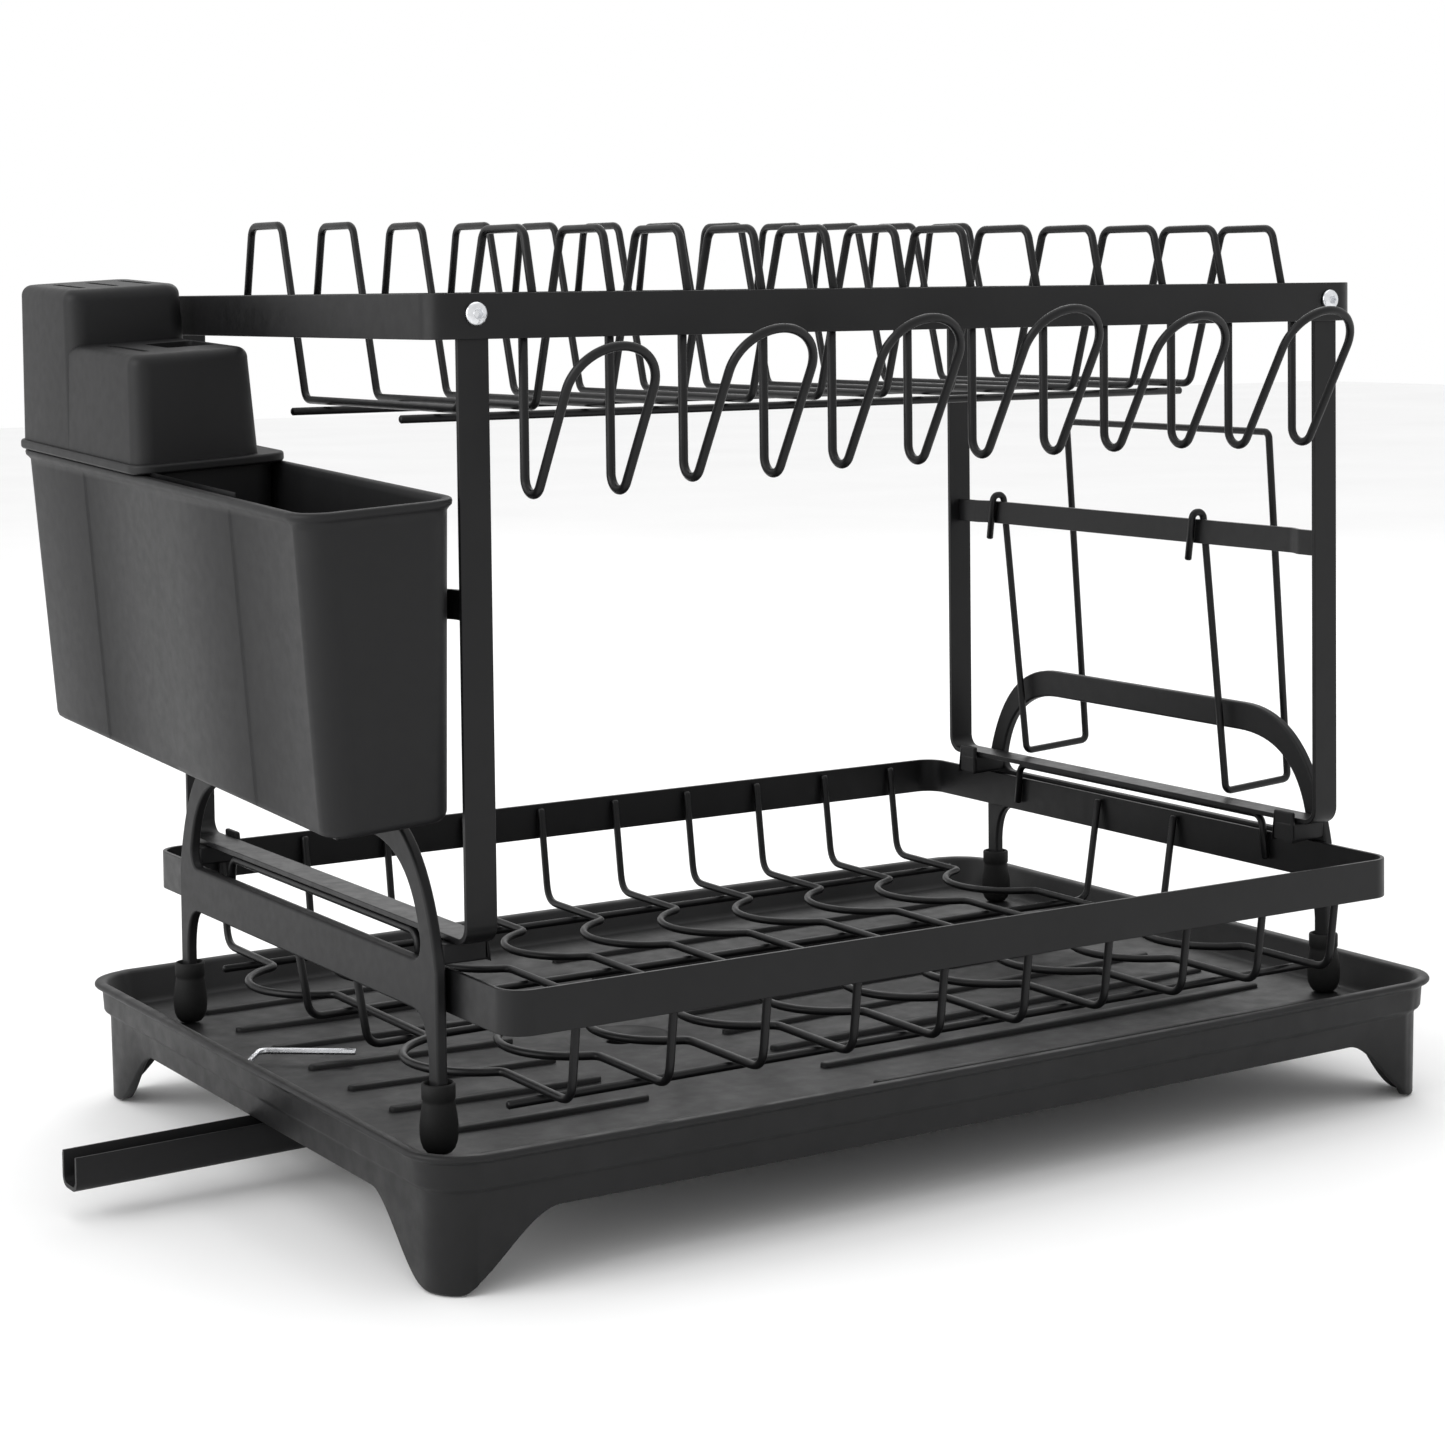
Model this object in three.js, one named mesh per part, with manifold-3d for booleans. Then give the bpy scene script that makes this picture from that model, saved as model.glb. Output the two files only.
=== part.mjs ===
// Two-tier dish drying rack: drip tray with a swivelling drain spout, a lower wire rack on
// moulded end frames and rubber feet, and an upper plate shelf on two flat-bar uprights.
// A utensil bin with a knife block hangs at the left end, a cutting board holder at the right.
// Millimetres, +Z up. Pieces are drawn about the middle of the two racks, then the whole rack is
// moved so that the origin is on the table under the middle of its overall box.
// +X runs to the board holder's end, -Y is the side with the mug hooks.
import * as THREE from 'three';
import { mergeVertices } from 'three/addons/utils/BufferGeometryUtils.js';
import Module from 'manifold-3d';

const wasm = await Module();
wasm.setup();

// Driving dimensions

const GAP = 0.3;                    // clearance between separate pieces
const WIRE_R = 1.5;                 // rack wire, 3 mm
const HOOK_R = 1.6;                 // mug hook wire
const WIRE_SIDES = 6;
const BEND_STEPS = 2;               // chords in one wire bend

const TRAY = {
  halfX: 222.5, halfY: 157, corner: 20, bow: 3.5,
  rimZ: 46.8, wallTopZ: 43, stepZ: 33, skirtZ: 24.5, floorZ: 34.2, floorThick: 3.2,
};
const TRAY_SHIFT = -3;              // the tray's middle, from the racks' middle, along X
const DRAIN = { x: -63, z: 30.3, discR: 21, holeR: 5.5, collarR: 8.5, collarZ: 22.5 };
const FOOT_FLAT = 11;               // half the tray foot's flat bottom, along the edge
const FOOT_REACH = 50;              // where the foot has blended into the skirt
const FOOT_SHIFT = 5;               // how far the foot sits round the corner, towards the short side
const RIB = { width: 4, height: 1.6, pitch: 34, perGroup: 8, leftX: [-186, -101], rightX: [-27, 186] };

const SPOUT = { length: 221, width: 14, height: 12.5, bottomZ: 13, fall: 3, wall: 1.5, cupR: 11.5, cupTopZ: 26.6 };

const BAND = { height: 15, thick: 1.6, corner: 10 };
const LOWER = { halfX: 194.5, halfY: 151.7, topZ: 95.7, floorZ: 54, floorHalfY: 143, wires: 10, pitch: 37.2 };
const CRADLE = { centreY: 67.5, halfChord: 27.5, depth: 21, steps: 6 };
const UPPER = { halfX: 203.4, halfY: 122.8, topZ: 318.9, wires: 12, pitch: 30.1, wireShift: 1.6 };
const DIVIDER = { frontTopZ: 340.5, backTopZ: 346, outerY: 112.5, innerY: 84, floorY: 64, floorZ: 278.5, weldZ: 312 };

const UPRIGHT = { x: 187.6, width: 11.4, thick: 2, outerY: 120.9, bottomZ: 104.4, topZ: 317, corner: 7 };
const CROSSBAR = { bottomZ: 211, height: 10, thick: 2, joggle: 3, flatEndY: 106, mainY: 99 };
const END_FRAME = { x: 198.2, thick: 4, legY: 108, archZ: 146, archWidth: 11.5, legZ: 43 };
const FOOT = { bottomZ: 34.4, topZ: 58, radius: 6.6, collarR: 5.8, boreR: 4.6, boreZ: 42 };
const SCREW = { headR: 4, headH: 2.2, shankR: 2, holeR: 2.4, nutR: 4.4, socketR: 1.5, z: 312.2 };

const MUG_HOOK = { shiftX: 1.5, pitch: 61.4, halfWidth: 16.6, weldZ: 311, bendR: 5.5, incline: 60 };
const HOOK_DROPS = [257.8, 260.8, 262.7, 263.7, 263.7, 262.4];    // where each hand-bent hook starts its low bend
const HOOK_PEAKS = [301.5, 306.2, 308.7, 311, 307.6, 308.7];      // the top of each hook's arch

const BIN = {
  innerX: -194.6, outerX: -251.5, frontY: -125, backY: 139.5, rimZ: 258, bottomZ: 151.4,
  taper: 4.5, endTaper: 0.8, wall: 2, corner: 12, hookY: [-60, 60],
};
const BIN_TILT = THREE.MathUtils.degToRad(2.5);   // the bin hangs with its -Y end low
const BIN_LEAN = THREE.MathUtils.degToRad(3);     // and with its rim's outer side low
const BLOCK = { frontY: 13, stepY: 75, backY: 136, farX: -203.2, lowTopZ: 300.5, highTopZ: 321, corner: 7 };
const HOLDER = { hookY: [94, -42], legY: [77, -56.5], topZ: 222.4, legX: 192.6, legZ: 108.6, outerX: 227, outerZ: 257 };

// Geometry helpers

/** Geometry with only welded positions, which is what a solid is made from. */
function welded(geometry) {
  const bare = geometry.index ? geometry.toNonIndexed() : geometry.clone();
  for (const name of Object.keys(bare.attributes)) {
    if (name !== 'position') bare.deleteAttribute(name);
  }
  return mergeVertices(bare, 1e-4);
}

function toSolid(geometry) {
  const mesh = welded(geometry);
  return new wasm.Manifold(new wasm.Mesh({
    numProp: 3,
    vertProperties: new Float32Array(mesh.attributes.position.array),
    triVerts: new Uint32Array(mesh.index.array),
  }));
}

function fromSolid(solid) {
  const { vertProperties, triVerts } = solid.getMesh();
  const geometry = new THREE.BufferGeometry();
  geometry.setAttribute('position', new THREE.BufferAttribute(vertProperties, 3));
  geometry.setIndex(new THREE.BufferAttribute(triVerts, 1));
  return geometry;
}

const joined = (...geometries) => fromSolid(geometries.map(toSolid).reduce((sum, next) => sum.add(next)));

function cut(geometry, ...tools) {
  return fromSolid(tools.map(toSolid).reduce((rest, tool) => rest.subtract(tool), toSolid(geometry)));
}

function box(low, high) {
  const size = high.map((value, axis) => value - low[axis]);
  const geometry = new THREE.BoxGeometry(...size);
  return geometry.translate(...low.map((value, axis) => value + size[axis] / 2));
}

/** Prism of a plan outline, from one height to another. */
function prismZ(shape, lowZ, highZ, curveSegments = 2) {
  const geometry = new THREE.ExtrudeGeometry(shape, { depth: highZ - lowZ, bevelEnabled: false, curveSegments });
  return geometry.translate(0, 0, lowZ);
}

/** Prism of an outline drawn in Y and Z, from one X to another. */
function prismX(shape, lowX, highX, curveSegments = 2) {
  const geometry = new THREE.ExtrudeGeometry(shape, { depth: highX - lowX, bevelEnabled: false, curveSegments });
  const yzToRow = new THREE.Matrix4().set(0, 0, 1, lowX, 1, 0, 0, 0, 0, 1, 0, 0, 0, 0, 0, 1);
  return geometry.applyMatrix4(yzToRow);
}

/** Cylinder along X, Y or Z between two places on that axis. */
function rod(axis, radius, from, to, x, y, z, sides = 12) {
  const geometry = new THREE.CylinderGeometry(radius, radius, to - from, sides);
  if (axis === 'x') geometry.rotateZ(Math.PI / 2).translate((from + to) / 2, y, z);
  if (axis === 'y') geometry.translate(x, (from + to) / 2, z);
  if (axis === 'z') geometry.rotateX(Math.PI / 2).translate(x, y, (from + to) / 2);
  return geometry;
}

function roundedRect(halfX, halfY, radius) {
  const shape = new THREE.Shape();
  shape.moveTo(-halfX + radius, -halfY);
  shape.absarc(halfX - radius, -halfY + radius, radius, -Math.PI / 2, 0);
  shape.absarc(halfX - radius, halfY - radius, radius, 0, Math.PI / 2);
  shape.absarc(-halfX + radius, halfY - radius, radius, Math.PI / 2, Math.PI);
  shape.absarc(-halfX + radius, -halfY + radius, radius, Math.PI, 1.5 * Math.PI);
  return shape;
}

/** Skin through rings of equal point counts; a cyclic loft closes on its first ring. */
function loft(rings, cyclic = false) {
  const count = rings[0].length;
  const positions = rings.flat().flat();
  const index = [];
  const lastRing = cyclic ? rings.length : rings.length - 1;
  for (let ring = 0; ring < lastRing; ring += 1) {
    const low = ring * count;
    const high = ((ring + 1) % rings.length) * count;
    for (let i = 0; i < count; i += 1) {
      const j = (i + 1) % count;
      index.push(low + i, low + j, high + j, low + i, high + j, high + i);
    }
  }
  if (!cyclic) {
    for (const [ring, flip] of [[0, true], [rings.length - 1, false]]) {
      const hub = positions.length / 3;
      for (const axis of [0, 1, 2]) {
        positions.push(rings[ring].reduce((sum, point) => sum + point[axis], 0) / count);
      }
      for (let i = 0; i < count; i += 1) {
        const a = ring * count + i;
        const b = ring * count + ((i + 1) % count);
        index.push(...(flip ? [hub, b, a] : [hub, a, b]));
      }
    }
  }
  const geometry = new THREE.BufferGeometry();
  geometry.setAttribute('position', new THREE.Float32BufferAttribute(positions, 3));
  geometry.setIndex(index);
  return geometry;
}

/** Corners of a rounded rectangle at one height, for lofts. */
function rectRing(lowX, highX, lowY, highY, radius, z, steps = 3) {
  const ring = [];
  const centres = [[highX - radius, highY - radius], [lowX + radius, highY - radius],
    [lowX + radius, lowY + radius], [highX - radius, lowY + radius]];
  centres.forEach(([x, y], quarter) => {
    for (let step = 0; step <= steps; step += 1) {
      const angle = (quarter + step / steps) * Math.PI / 2;
      ring.push([x + radius * Math.cos(angle), y + radius * Math.sin(angle), z]);
    }
  });
  return ring;
}

/** A bent wire's centreline, given by the stations where its section is placed. */
class BentWire extends THREE.Curve {
  constructor(stations) {
    super();
    this.stations = stations;
  }

  getPoint(t) {
    return this.stations[Math.round(t * (this.stations.length - 1))];
  }

  getSpacedPoints() {
    return this.stations;
  }

  getTangentAt(u) {
    const last = this.stations.length - 1;
    const here = Math.round(u * last);
    const unit = (from, to) => this.stations[to].clone().sub(this.stations[from]).normalize();
    const before = here > 0 ? unit(here - 1, here) : unit(0, 1);
    const after = here < last ? unit(here, here + 1) : before;
    return before.add(after).normalize();
  }
}

/** Stations along straight runs joined by round bends of one radius at every corner. */
function bentStations(corners, bendRadius) {
  const points = corners.map((corner) => new THREE.Vector3(...corner));
  const stations = [points[0]];
  for (let i = 1; i < points.length - 1; i += 1) {
    const back = points[i - 1].clone().sub(points[i]);
    const on = points[i + 1].clone().sub(points[i]);
    const halfAngle = back.angleTo(on) / 2;
    const reach = Math.min(bendRadius / Math.tan(halfAngle), back.length() * 0.45, on.length() * 0.45);
    back.setLength(reach).add(points[i]);
    on.setLength(reach).add(points[i]);
    const bend = new THREE.QuadraticBezierCurve3(back, points[i], on);
    stations.push(...bend.getPoints(BEND_STEPS));
  }
  stations.push(points[points.length - 1]);
  return stations;
}

function wire(stations, radius = WIRE_R) {
  const section = new THREE.Shape();
  section.absarc(0, 0, radius, 0, 2 * Math.PI);
  return new THREE.ExtrudeGeometry(section, {
    steps: stations.length - 1,
    curveSegments: WIRE_SIDES / 2,
    extrudePath: new BentWire(stations),
  });
}

// Drip tray

/** Points round the tray's rim line, each with its outward normal and distance from its foot. */
function trayOutline() {
  const { halfX, halfY, corner, bow } = TRAY;
  const arcSteps = 4;
  const longSide = [6, 12, 18, 25, 34, 80, 135];
  const shortSide = [6, 12, 18, 25, 32, 40];
  const arcHalf = corner * Math.PI / 4;
  const outline = [];
  for (let quarter = 0; quarter < 4; quarter += 1) {
    const startAngle = quarter * Math.PI / 2;
    const signX = quarter === 0 || quarter === 3 ? 1 : -1;
    const signY = quarter < 2 ? 1 : -1;
    const centre = [signX * (halfX - corner), signY * (halfY - corner)];
    const comesAlongY = quarter % 2 === 0;
    const place = (angle, along) => {
      const normal = [Math.cos(angle), Math.sin(angle)];
      const x = centre[0] + corner * normal[0] - along * normal[1];
      const bulge = bow * (1 - (x / halfX) ** 2) * (Math.abs(normal[1]) > 0.99 ? 1 : 0);
      const y = centre[1] + corner * normal[1] + along * normal[0] + signY * bulge;
      return { x, y, normal };
    };
    const footMiddle = comesAlongY ? -FOOT_SHIFT : FOOT_SHIFT;
    const fromFoot = (pastCorner) => Math.abs(pastCorner - footMiddle);
    for (const along of [...(comesAlongY ? shortSide : longSide)].reverse()) {
      outline.push({ ...place(startAngle, -along), fromFoot: fromFoot(-arcHalf - along) });
    }
    for (let step = 0; step <= arcSteps; step += 1) {
      const angle = startAngle + (step / arcSteps) * Math.PI / 2;
      outline.push({ ...place(angle, 0), fromFoot: fromFoot((step / arcSteps - 0.5) * 2 * arcHalf) });
    }
    for (const along of comesAlongY ? longSide : shortSide) {
      outline.push({ ...place(startAngle + Math.PI / 2, along), fromFoot: fromFoot(arcHalf + along) });
    }
  }
  return outline;
}

/** 1 on a foot's flat bottom, falling smoothly to 0 where the skirt is level. */
function footShare(fromFoot) {
  const t = THREE.MathUtils.clamp((fromFoot - FOOT_FLAT) / (FOOT_REACH - FOOT_FLAT), 0, 1);
  return 1 - t * t * (3 - 2 * t);
}

function floorHeight(x, y) {
  const acrossX = Math.abs(x - DRAIN.x) / (TRAY.halfX - 12 - Math.sign(x - DRAIN.x) * DRAIN.x);
  const acrossY = Math.abs(y) / (TRAY.halfY - 12);
  return THREE.MathUtils.lerp(DRAIN.z + 0.5, TRAY.floorZ, Math.max(acrossX, acrossY));
}

function trayRib([fromX, toX], y) {
  const fromZ = floorHeight(fromX, y);
  const toZ = floorHeight(toX, y);
  const depth = RIB.height + 1.6;
  const geometry = new THREE.BoxGeometry(toX - fromX, RIB.width, depth);
  geometry.rotateY(-Math.atan2(toZ - fromZ, toX - fromX));
  return geometry.translate((fromX + toX) / 2, y, (fromZ + toZ) / 2 + RIB.height - depth / 2);
}

function dripTray() {
  const outline = trayOutline();
  const level = (inset, z) => outline.map(({ x, y, normal }) => [x - normal[0] * inset, y - normal[1] * inset, z]);
  const skirtEdge = (inset, footInset) => outline.map(({ x, y, normal, fromFoot }) => {
    const share = footShare(fromFoot);
    const depth = THREE.MathUtils.lerp(inset, footInset, share);
    return [x - normal[0] * depth, y - normal[1] * depth, TRAY.skirtZ * (1 - share)];
  });
  const drainRing = (radius, z) => outline.map(({ x, y }) => {
    const reach = Math.hypot(x - DRAIN.x, y);
    return [DRAIN.x + radius * (x - DRAIN.x) / reach, radius * y / reach, z];
  });
  const { rimZ, wallTopZ, stepZ, floorZ, floorThick } = TRAY;
  const underside = DRAIN.z - 3;
  const shell = loft([
    drainRing(DRAIN.holeR, DRAIN.collarZ),
    drainRing(DRAIN.collarR, DRAIN.collarZ),
    drainRing(DRAIN.collarR, underside),
    drainRing(DRAIN.discR + 1, underside),
    level(14, floorZ - floorThick),
    level(9.5, floorZ - floorThick),
    skirtEdge(8.5, 11.5),
    skirtEdge(6.5, 6.5),
    level(6, stepZ),
    level(3.5, stepZ + 2.5),
    level(3, wallTopZ),
    level(0, rimZ - 1.2),
    level(0.8, rimZ),
    level(3.6, rimZ),
    level(5.5, rimZ - 1.8),
    level(9.5, floorZ + 1.4),
    level(12.5, floorZ),
    drainRing(DRAIN.discR, DRAIN.z + 0.5),
    drainRing(DRAIN.discR - 0.6, DRAIN.z),
    drainRing(DRAIN.holeR, DRAIN.z),
  ], true);
  const ribs = [];
  for (let row = 0; row < RIB.perGroup; row += 1) {
    const y = (row - (RIB.perGroup - 1) / 2) * RIB.pitch;
    ribs.push(trayRib(RIB.leftX, y), trayRib(RIB.rightX, y));
  }
  return joined(shell, ...ribs);
}

// Drain spout: a U channel with a cup that turns on the tray's drain collar

function channelSection(halfWidth, bottomZ, topZ, radius) {
  const shape = new THREE.Shape();
  shape.moveTo(-halfWidth, topZ);
  shape.lineTo(-halfWidth, bottomZ + radius);
  shape.absarc(-halfWidth + radius, bottomZ + radius, radius, Math.PI, 1.5 * Math.PI);
  shape.absarc(halfWidth - radius, bottomZ + radius, radius, 1.5 * Math.PI, 2 * Math.PI);
  shape.lineTo(halfWidth, topZ);
  return shape;
}

function drainSpout() {
  const { length, width, height, bottomZ, fall, wall, cupR, cupTopZ } = SPOUT;
  const channel = (inset, from, to, lid) => {
    const section = channelSection(width / 2 - inset, inset, height + lid, 4 - inset);
    return prismX(section, from, to).rotateY(Math.atan2(fall, length)).translate(0, 0, bottomZ);
  };
  const outside = joined(channel(0, 0, length, 0), rod('z', cupR, bottomZ, cupTopZ, 0, 0, 0, 16));
  const bore = rod('z', DRAIN.collarR + 0.6, bottomZ + wall + 0.4, cupTopZ + 1, 0, 0, 0, 16);
  const spout = cut(outside, channel(wall, 0, length + 1, 1), bore);
  return spout.rotateZ(Math.PI).translate(DRAIN.x, 0, 0);
}

// Bands and wires of the two racks

function band({ halfX, halfY, topZ }) {
  const shape = roundedRect(halfX, halfY, BAND.corner);
  shape.holes.push(roundedRect(halfX - BAND.thick, halfY - BAND.thick, BAND.corner - BAND.thick));
  return prismZ(shape, topZ - BAND.height, topZ);
}

/** Depth at which a wire lies against the inside of a band. */
const insideBand = (halfSize) => halfSize - BAND.thick - GAP - WIRE_R;

/** A run of points round one bowl cradle, bulging to -X. */
function cradleArc(x, centreY, z) {
  const { halfChord, depth, steps } = CRADLE;
  const radius = (halfChord ** 2 + depth ** 2) / (2 * depth);
  const halfAngle = Math.asin(halfChord / radius);
  const points = [];
  for (let step = 0; step <= steps; step += 1) {
    const angle = halfAngle * (1 - 2 * step / steps);
    const bulge = radius * Math.cos(angle) - (radius - depth);
    points.push(new THREE.Vector3(x - bulge, centreY + radius * Math.sin(angle), z));
  }
  return points;
}

function lowerWire(x) {
  const weldY = insideBand(LOWER.halfY);
  const weldZ = LOWER.topZ - 2;
  const { floorZ, floorHalfY } = LOWER;
  const back = bentStations([[x, weldY, weldZ], [x, floorHalfY, floorZ], [x, floorHalfY - 20, floorZ]], 6);
  const front = bentStations([[x, -floorHalfY + 20, floorZ], [x, -floorHalfY, floorZ], [x, -weldY, weldZ]], 6);
  return wire([
    ...back.slice(0, -1),
    ...cradleArc(x, CRADLE.centreY, floorZ),
    ...cradleArc(x, -CRADLE.centreY, floorZ),
    ...front.slice(1),
  ]);
}

const UNDER_FLOOR = 2 * WIRE_R + GAP + 0.1;   // from a floor wire to the rod beneath it

function lowerRod(y) {
  return rod('x', WIRE_R, -180, 180, 0, y, LOWER.floorZ - UNDER_FLOOR, 8);
}

function lowerSideRod(y) {
  const z = LOWER.floorZ - UNDER_FLOOR;
  const weldX = insideBand(LOWER.halfX);
  const weldZ = LOWER.topZ - 2;
  return wire(bentStations([[-weldX, y, weldZ], [-weldX + 7, y, z], [weldX - 7, y, z], [weldX, y, weldZ]], 6));
}

/** Rail on the lower band's end that an upright frame's bottom bar rests on. */
function staple(side) {
  const x = side * insideBand(LOWER.halfX);
  const railZ = UPRIGHT.bottomZ - GAP - WIRE_R;
  const lowZ = LOWER.topZ - 11;
  return wire(bentStations([[x, 82, lowZ], [x, 80, railZ], [x, -80, railZ], [x, -82, lowZ]], 4));
}

function plateWire(x) {
  const weldY = insideBand(UPPER.halfY);
  const { frontTopZ, backTopZ, outerY, innerY, floorY, floorZ, weldZ } = DIVIDER;
  return wire(bentStations([
    [x, weldY, weldZ], [x, outerY, backTopZ], [x, innerY, backTopZ], [x, floorY, floorZ],
    [x, -floorY, floorZ], [x, -innerY, frontTopZ], [x, -outerY, frontTopZ], [x, -weldY, weldZ],
  ], 5));
}

function shelfRod(y) {
  return rod('x', WIRE_R, -178, 178, 0, y, DIVIDER.floorZ - UNDER_FLOOR, 8);
}

/** Leg down behind the band, round a low bend, up and forward into an arch, and back the same way. */
function mugHook(centreX, dropZ, peakZ) {
  const { halfWidth, weldZ, bendR, incline } = MUG_HOOK;
  const weldY = -(UPPER.halfY - BAND.thick - GAP - HOOK_R);
  const slope = THREE.MathUtils.degToRad(incline);
  const leg = [[weldY, weldZ], [weldY, dropZ]];
  const turns = 4;
  for (let step = 1; step <= turns; step += 1) {
    const angle = (step / turns) * (Math.PI / 2 + slope);
    leg.push([weldY - bendR + bendR * Math.cos(angle), dropZ - bendR * Math.sin(angle)]);
  }
  const [bendY, bendZ] = leg[leg.length - 1];
  const archZ = peakZ - halfWidth * Math.sin(slope);
  const archY = bendY - (archZ - bendZ) / Math.tan(slope);
  const side = (sign) => leg.map(([y, z]) => new THREE.Vector3(centreX + sign * halfWidth, y, z));
  const arch = [];
  const archSteps = 8;
  for (let step = 0; step <= archSteps; step += 1) {
    const angle = Math.PI * (1 - step / archSteps);
    const rise = halfWidth * Math.sin(angle);
    arch.push(new THREE.Vector3(
      centreX + halfWidth * Math.cos(angle),
      archY - rise * Math.cos(slope),
      archZ + rise * Math.sin(slope),
    ));
  }
  return wire([...side(-1), ...arch, ...side(1).reverse()], HOOK_R);
}

// Frames between the racks

/** Flat bar bent to a U, with a weld nut inside each leg for the upper band's screw. */
function uprightFrame(side) {
  const { width, thick, outerY, bottomZ, topZ, corner } = UPRIGHT;
  const innerR = corner - thick;
  const shape = new THREE.Shape();
  shape.moveTo(-outerY, topZ);
  shape.absarc(-outerY + corner, bottomZ + corner, corner, Math.PI, 1.5 * Math.PI);
  shape.absarc(outerY - corner, bottomZ + corner, corner, 1.5 * Math.PI, 2 * Math.PI);
  shape.lineTo(outerY, topZ);
  shape.lineTo(outerY - thick, topZ);
  shape.absarc(outerY - corner, bottomZ + corner, innerR, 2 * Math.PI, 1.5 * Math.PI, true);
  shape.absarc(-outerY + corner, bottomZ + corner, innerR, 1.5 * Math.PI, Math.PI, true);
  shape.lineTo(-outerY + thick, topZ);
  const centreX = side * UPRIGHT.x;
  const frame = prismX(shape, centreX - width / 2, centreX + width / 2);
  const nutEnd = outerY - thick / 2;
  const nuts = [[-nutEnd, -nutEnd + 5], [nutEnd - 5, nutEnd]].map(([from, to]) => (
    rod('y', SCREW.nutR, from, to, centreX, 0, SCREW.z, 6)
  ));
  return cut(joined(frame, ...nuts), rod('y', SCREW.holeR, -outerY - 5, outerY + 5, centreX, 0, SCREW.z));
}

/** Flat bar between the uprights, set outward along its middle. */
function crossbar(side) {
  const { bottomZ, height, thick, joggle, flatEndY, mainY } = CROSSBAR;
  const endY = UPRIGHT.outerY - UPRIGHT.thick - GAP;
  const near = side * UPRIGHT.x - thick / 2;
  const path = [[near, -endY], [near, -flatEndY], [near + side * joggle, -mainY],
    [near + side * joggle, mainY], [near, flatEndY], [near, endY]];
  const far = path.map(([x, y]) => [x + thick, y]).reverse();
  const shape = new THREE.Shape([...path, ...far].map(([x, y]) => new THREE.Vector2(x, y)));
  return prismZ(shape, bottomZ, bottomZ + height);
}

/** Moulded handle arch with two legs, a crossbar at band level and sockets for the upright frame. */
function endFrame(side) {
  const { x, thick, legY, archZ, archWidth, legZ } = END_FRAME;
  const [shoulderY, shoulderZ] = [111.5, 95];
  const stubHalf = 3.5;
  const shape = new THREE.Shape();
  shape.moveTo(-legY - stubHalf, legZ);
  shape.lineTo(-legY - stubHalf, 60);
  shape.lineTo(-shoulderY, shoulderZ);
  shape.quadraticCurveTo(-101, archZ, -62, archZ);
  shape.lineTo(62, archZ);
  shape.quadraticCurveTo(101, archZ, shoulderY, shoulderZ);
  shape.lineTo(legY + stubHalf, 60);
  shape.lineTo(legY + stubHalf, legZ);
  shape.lineTo(legY - stubHalf, legZ);
  shape.lineTo(legY - stubHalf, 64);
  shape.quadraticCurveTo(legY - stubHalf - 1, 80, 93, 80);
  shape.lineTo(-93, 80);
  shape.quadraticCurveTo(-legY + stubHalf + 1, 80, -legY + stubHalf, 64);
  shape.lineTo(-legY + stubHalf, legZ);
  const window = new THREE.Path();
  const lowZ = 97;
  const highZ = archZ - archWidth;
  window.moveTo(-93, lowZ);
  window.lineTo(93, lowZ);
  window.quadraticCurveTo(99.5, lowZ, 99.5, 104);
  window.quadraticCurveTo(93, highZ, 60, highZ);
  window.lineTo(-60, highZ);
  window.quadraticCurveTo(-93, highZ, -99.5, 104);
  window.quadraticCurveTo(-99.5, lowZ, -93, lowZ);
  shape.holes.push(window);
  const plate = prismX(shape, side * x - thick / 2, side * x + thick / 2, 6);
  const plateFace = x - thick / 2;
  const socketTop = UPRIGHT.bottomZ - GAP;
  const barInner = UPRIGHT.x - UPRIGHT.width / 2 - GAP;
  const sockets = [-1, 1].flatMap((end) => {
    const [nearY, farY] = [Math.min(end * 99, end * 110), Math.max(end * 99, end * 110)];
    const spans = [[barInner - 2, plateFace + 1, 97.2, socketTop], [barInner - 2, barInner, 97.2, socketTop + 4.5]];
    return spans.map(([fromX, toX, fromZ, toZ]) => box(
      [Math.min(side * fromX, side * toX), nearY, fromZ],
      [Math.max(side * fromX, side * toX), farY, toZ],
    ));
  });
  return joined(plate, ...sockets);
}

/** Rubber foot: a collar and a round-bottomed barrel with a socket for the leg. */
function rubberFoot() {
  const { bottomZ, topZ, radius, collarR, boreR, boreZ } = FOOT;
  const profile = [
    [0, bottomZ], [3.6, bottomZ], [5.6, bottomZ + 2.2], [radius, bottomZ + 6], [radius, bottomZ + 12],
    [collarR - 0.5, topZ - 6], [collarR, topZ - 5], [collarR, topZ], [boreR, topZ], [boreR, boreZ], [0, boreZ],
  ];
  const points = profile.map(([x, y]) => new THREE.Vector2(x, y));
  return new THREE.LatheGeometry(points, 12).rotateX(Math.PI / 2);
}

/** Button-head screw with a hex socket, head on the outside of the upper band. */
function screw(side, end) {
  const { headR, headH, shankR, socketR, z } = SCREW;
  const seat = UPPER.halfY + GAP;
  const tip = UPRIGHT.outerY - UPRIGHT.thick - 5.4;
  const profile = [[0, tip], [shankR, tip], [shankR, seat], [headR, seat], [headR, seat + 0.6],
    [headR * 0.6, seat + headH], [0, seat + headH]];
  const body = new THREE.LatheGeometry(profile.map(([x, y]) => new THREE.Vector2(x, y)), 8);
  const socket = new THREE.CylinderGeometry(socketR, socketR, 2, 6).translate(0, seat + headH - 0.4, 0);
  const piece = cut(body, socket);
  if (end < 0) piece.rotateZ(Math.PI);
  return piece.translate(side * UPRIGHT.x, 0, z);
}

// Utensil bin with its knife block, and the other loose pieces

/** Plan of the tapering bin, inset from its outside; lean is 0 at the rim and 1 at the floor. */
function binRing(inset, z, lean, lowY = -Infinity) {
  const { innerX, outerX, frontY, backY, taper, endTaper, corner } = BIN;
  return rectRing(
    outerX + inset + lean * taper, innerX - inset - lean * taper,
    Math.max(frontY + inset + lean * endTaper, lowY), backY - inset - lean * endTaper, corner - inset, z,
  );
}

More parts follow.
